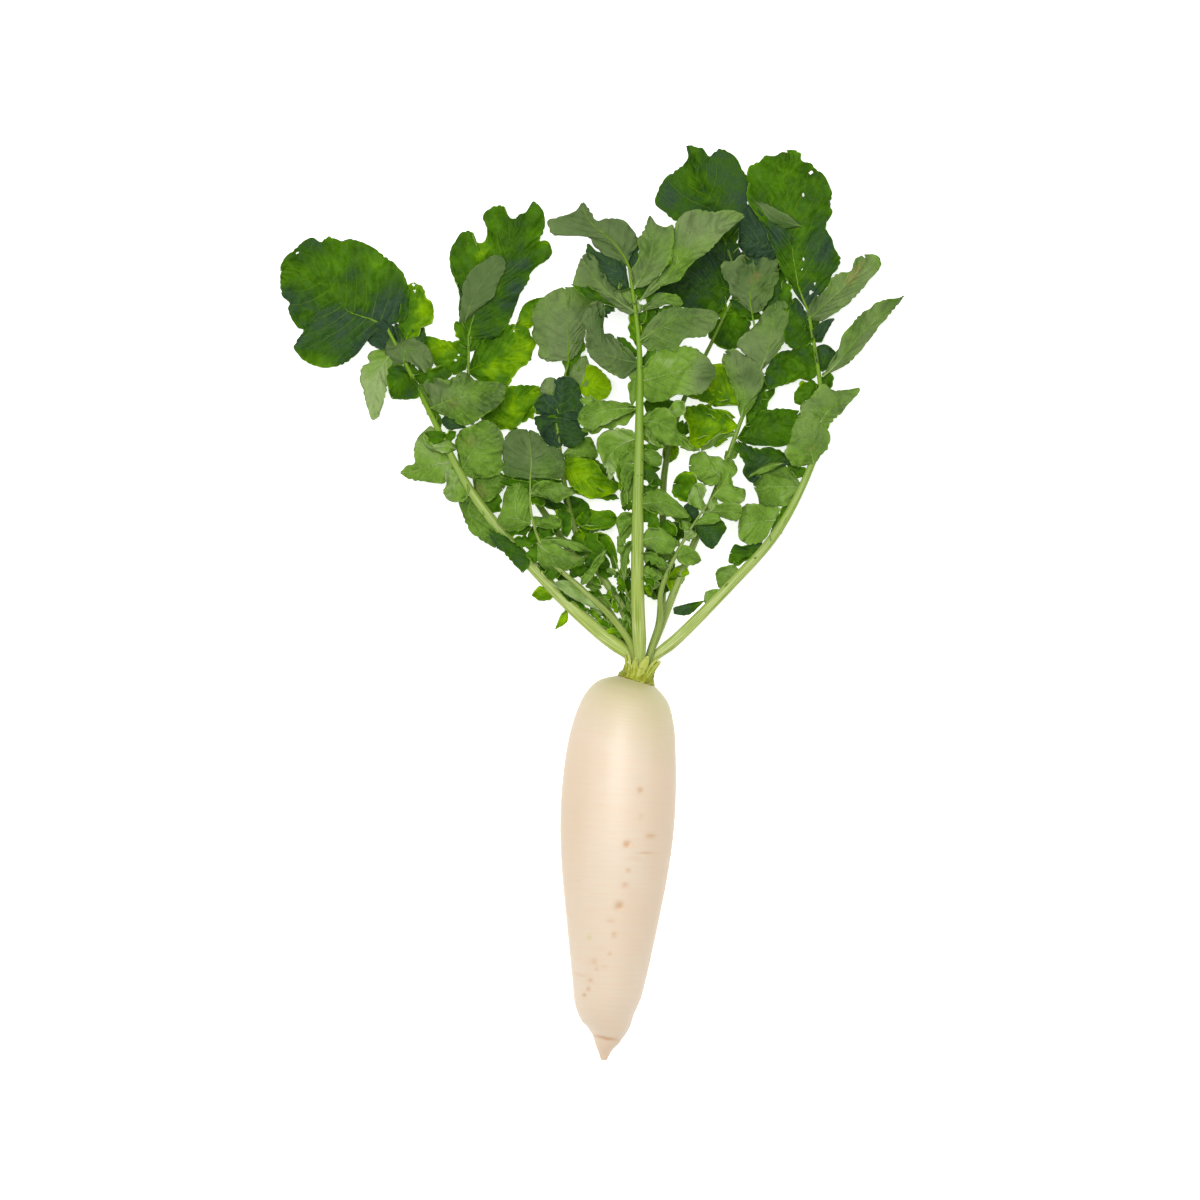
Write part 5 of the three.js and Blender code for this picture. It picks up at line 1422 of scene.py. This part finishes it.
def vein_lines(paint, place):
    """How far a place is on a side vein, and how far on the net of small veins between them."""
    axes = paint.axes(paint.vein_map())
    waver = paint.noise(place, 90.0, 2.0)
    phase = paint.calc("ADD", axes[0], paint.scaled(waver, 0.3, 100.0))
    off = paint.calc("PINGPONG", phase, 0.5)
    reach = paint.calc("ABSOLUTE", axes[1])
    narrow = paint.scaled(reach, -0.7 * SIDE_VEIN_WIDTH, SIDE_VEIN_WIDTH)
    line = paint.calc("SUBTRACT", 1.0, paint.calc("DIVIDE", off, narrow), clamp=True)
    line = paint.calc("MULTIPLY", line, paint.scaled(reach, -0.55, 1.0))
    cells = paint.add("TexVoronoi", {"Vector": place, "Scale": VEIN_NET_SCALE}, feature="DISTANCE_TO_EDGE")
    net = paint.calc("SUBTRACT", 1.0, paint.calc("MULTIPLY", cells.outputs[0], 10.0), clamp=True)
    return line, net


def hazed(paint, place, tone, base, haze):
    """The pale bloom of an underside: more on dull leaves and far out, darker where dull or in painted shade.
    """
    cloud = paint.scaled(paint.noise(place, HAZE_SCALE, 3.0), 2.6, -1.05)
    cloud = paint.calc("SUBTRACT", cloud, paint.calc("MULTIPLY", tone, 0.9))
    cloud = paint.calc("ADD", cloud, paint.ranged(paint.axes(place)[1], *HAZE_RISE, -0.55, 0.0))
    share = paint.calc("MULTIPLY", paint.calc("MINIMUM", cloud, 0.8), 1.0, clamp=True)
    return paint.blend(share, base, paint.blend(paint.ranged(tone, -1.3, 0.9, 0.0, 1.0), *haze))


def blade_material(name, shades, vein, vein_share, net_share, roughness, sunken, haze=None):
    """Shades go from dull to lit through; veins are sunken on an upper side and stand out on an underside."""
    paint = Paint(name)
    place = paint.place()
    line, net = vein_lines(paint, place)
    tone = paint.attribute("tone")
    patches = paint.scaled(paint.noise(place, PATCH_SCALE, 5.0, Roughness=0.62), 1.7, -0.86)
    # The tone picks the shade of green; on leaves it holds painted light and shade too.
    base = paint.ramp(paint.calc("ADD", paint.scaled(tone, 0.5, 0.5), patches), shades)
    marks = paint.calc("MAXIMUM", line, paint.calc("MULTIPLY", net, net_share))
    base = paint.blend(paint.calc("MULTIPLY", marks, vein_share), base, vein)
    if haze:
        base = hazed(paint, place, tone, base, haze)
    base = paint.blend(paint.calc("MULTIPLY", paint.attribute("stain"), 0.8), base, STAIN_COLOUR)
    blisters = paint.bump(0.5, 0.0022, paint.noise(place, BLISTER_SCALE, 2.0))
    relief = paint.bump(0.6, 0.0007, marks, under=blisters, invert=sunken)
    skin = paint.skin(base, roughness, relief, **{"Specular IOR Level": LEAF_GLOSS})
    glow = paint.add("BsdfTranslucent", {"Color": base, "Normal": relief}).outputs[0]
    return paint.finish(paint.add("MixShader", {0: LEAF_GLOW, 1: skin, 2: glow}).outputs[0])


def stalk_material(name, shade, streak, pale, far=None):
    paint = Paint(name)
    place = paint.place()
    streaks = paint.stretched_noise(paint.vein_map(), (0.35, 26.0, 1.0), 4.0)
    base = paint.blend(paint.scaled(streaks, 4.5, -1.75, clamp=True), shade, streak)
    base = paint.blend(paint.scaled(paint.noise(place, 30.0, 3.0), 2.4, -0.9, clamp=True), base, pale)
    if far:
        base = paint.blend(paint.ranged(paint.axes(place)[1], *STALK_FAR, 0.0, 1.0), base, far)
    dull = paint.calc("MULTIPLY", paint.attribute("tone"), -1.0, clamp=True)
    base = paint.blend(dull, base, SHADED_STALK)
    relief = paint.bump(0.3, 0.0004, streaks)
    return paint.finish(paint.skin(base, STALK_ROUGHNESS, relief, **{"Specular IOR Level": STALK_GLOSS}))


def root_material():
    """White skin, painted shade on the flanks, yellower tail, greener shoulder, and brown in the pits."""
    paint = Paint("root skin")
    place = paint.place()
    x, y, _ = paint.axes(place)
    stain = paint.attribute("tone")
    rings = paint.stretched_noise(place, (45.0, 480.0, 45.0), 4.0)
    patches = paint.noise(place, 16.0, 4.0)
    tint = ROOT_COLOURS
    base = paint.blend(paint.scaled(patches, 1.6, -0.3, clamp=True), tint["skin"], tint["patch"])
    base = paint.blend(paint.scaled(rings, 1.6, -0.72, clamp=True), base, tint["ring"])
    # Painted shade: darker, warmer skin towards either flank.
    flank_shade = paint.ranged(paint.calc("ABSOLUTE", x), *FLANK_SHADE_BAND, 0.0, 0.6)
    base = paint.blend(flank_shade, base, tint["flank_shade"])
    slant = paint.calc("ADD", y, paint.calc("MULTIPLY", x, SHOULDER_SLANT))
    shoulder = paint.ranged(slant, *SHOULDER_BAND, 0.0, 1.1)
    green = paint.calc("MULTIPLY", shoulder, paint.scaled(patches, 1.2, 0.25), clamp=True)
    base = paint.blend(green, base, tint["shoulder"])
    base = paint.blend(paint.ranged(y, *TAIL_BAND, 0.0, 0.35), base, tint["tail"])
    base = paint.blend(paint.calc("MULTIPLY", stain, 0.85, clamp=True), base, tint["pit"])
    base = paint.blend(paint.calc("MULTIPLY", stain, -1.0, clamp=True), base, tint["moss"])
    return paint.finish(paint.skin(base, ROOT_ROUGHNESS, paint.bump(0.12, 0.0005, rings), **{
        "Subsurface Weight": 0.1, "Subsurface Radius": ROOT_DEPTH}))


# Materials in the order of BLADE_UPPER, BLADE_UNDER and STALK.
leaf_paints = [
    # The upper side's dullest colour is a bluish grey: painted sheen and shade where the tone is low.
    blade_material("leaf upper side",
                   [colour(50, 76, 54), colour(54, 94, 12), colour(80, 128, 8), colour(142, 186, 0)],
                   colour(140, 176, 50), vein_share=0.4, net_share=0.15, roughness=0.5, sunken=True),
    blade_material("leaf underside",
                   [colour(62, 98, 26), colour(94, 132, 36), colour(120, 160, 52), colour(156, 180, 114)],
                   colour(168, 192, 124), vein_share=0.6, net_share=0.32, roughness=0.6, sunken=False,
                   haze=(colour(72, 100, 46), colour(158, 174, 124))),
    stalk_material("leaf stalk", colour(130, 154, 54), colour(200, 212, 138), colour(166, 184, 86),
                   far=colour(112, 150, 28)),
]
crown_scale = blade_material(
    "crown scale", [colour(92, 62, 20), colour(136, 136, 38), colour(160, 172, 54), colour(200, 210, 104)],
    colour(226, 230, 160), vein_share=0.35, net_share=0.1, roughness=0.5, sunken=False)
crown_neck = stalk_material("crown", colour(118, 104, 36), colour(158, 160, 54), colour(92, 64, 24))

for number, (name, frond) in enumerate(FRONDS.items()):
    make_frond(name, frond, leaf_paints, SEED_STEP * number + FIRST_SEED)
make_root(root_material())
make_crown([crown_scale, crown_scale, crown_neck])


# ---- Stage, in metres ----

FLOOR_HALF = 3.0
FLOOR_COLOUR = (0.9, 0.9, 0.9, 1)
FLOOR_GLOW = 0.66
FLOOR_ROUGHNESS = 0.9
WHITE = (1, 1, 1, 1)
SKY_STRENGTH = 0.2
FARTHEST = 20  # what the camera sees
LIGHT_AIM = np.array([0, 0.1, 0])
LIGHTS = [  # name, place, side and power
    ("overhead softbox", (0, 0.1, 3.4), 3.6, 52),
    ("key light", (-0.25, 0.5, 2.25), 0.9, 32),
]


def make_floor():
    half = FLOOR_HALF
    mesh = bpy.data.meshes.new("floor")
    mesh.from_pydata([(-half, -half, 0), (half, -half, 0), (half, half, 0), (-half, half, 0)], [],
                     [(0, 1, 2, 3)])
    paint = Paint("floor")
    skin = paint.add("BsdfPrincipled", {"Base Color": FLOOR_COLOUR, "Roughness": FLOOR_ROUGHNESS,
                                        "Emission Color": WHITE, "Emission Strength": FLOOR_GLOW})
    mesh.materials.append(paint.finish(skin.outputs[0]))
    floor = bpy.data.objects.new("floor", mesh)
    bpy.context.scene.collection.objects.link(floor)


def add_light(name, place, size, power):
    light = bpy.data.lights.new(name, "AREA")
    light.size = size
    light.energy = power
    lamp = bpy.data.objects.new(name, light)
    lamp.location = place
    aim = LIGHT_AIM - np.array(place)
    pitch = math.atan2(math.hypot(aim[0], aim[1]), -aim[2])
    lamp.rotation_euler = (pitch, 0, math.atan2(-aim[0], aim[1]))
    bpy.context.scene.collection.objects.link(lamp)


def make_stage():
    scene = bpy.context.scene
    make_floor()
    for light in LIGHTS:
        add_light(*light)
    world = bpy.data.worlds.new("studio")
    world.use_nodes = True
    sky = world.node_tree.nodes["Background"].inputs
    sky["Color"].default_value = WHITE
    sky["Strength"].default_value = SKY_STRENGTH
    scene.world = world
    camera = bpy.data.cameras.new("camera")
    camera.sensor_width = SENSOR
    camera.lens = SENSOR * CAMERA_HEIGHT / VIEW_WIDTH
    camera.clip_end = FARTHEST
    holder = bpy.data.objects.new("camera", camera)
    holder.location = (*VIEW_CENTRE, CAMERA_HEIGHT + VIEW_HEIGHT)
    holder.rotation_euler = (0, 0, CAMERA_ROLL)
    scene.collection.objects.link(holder)
    scene.camera = holder
    scene.view_settings.view_transform = "Standard"


make_stage()

bpy.context.view_layer.update()
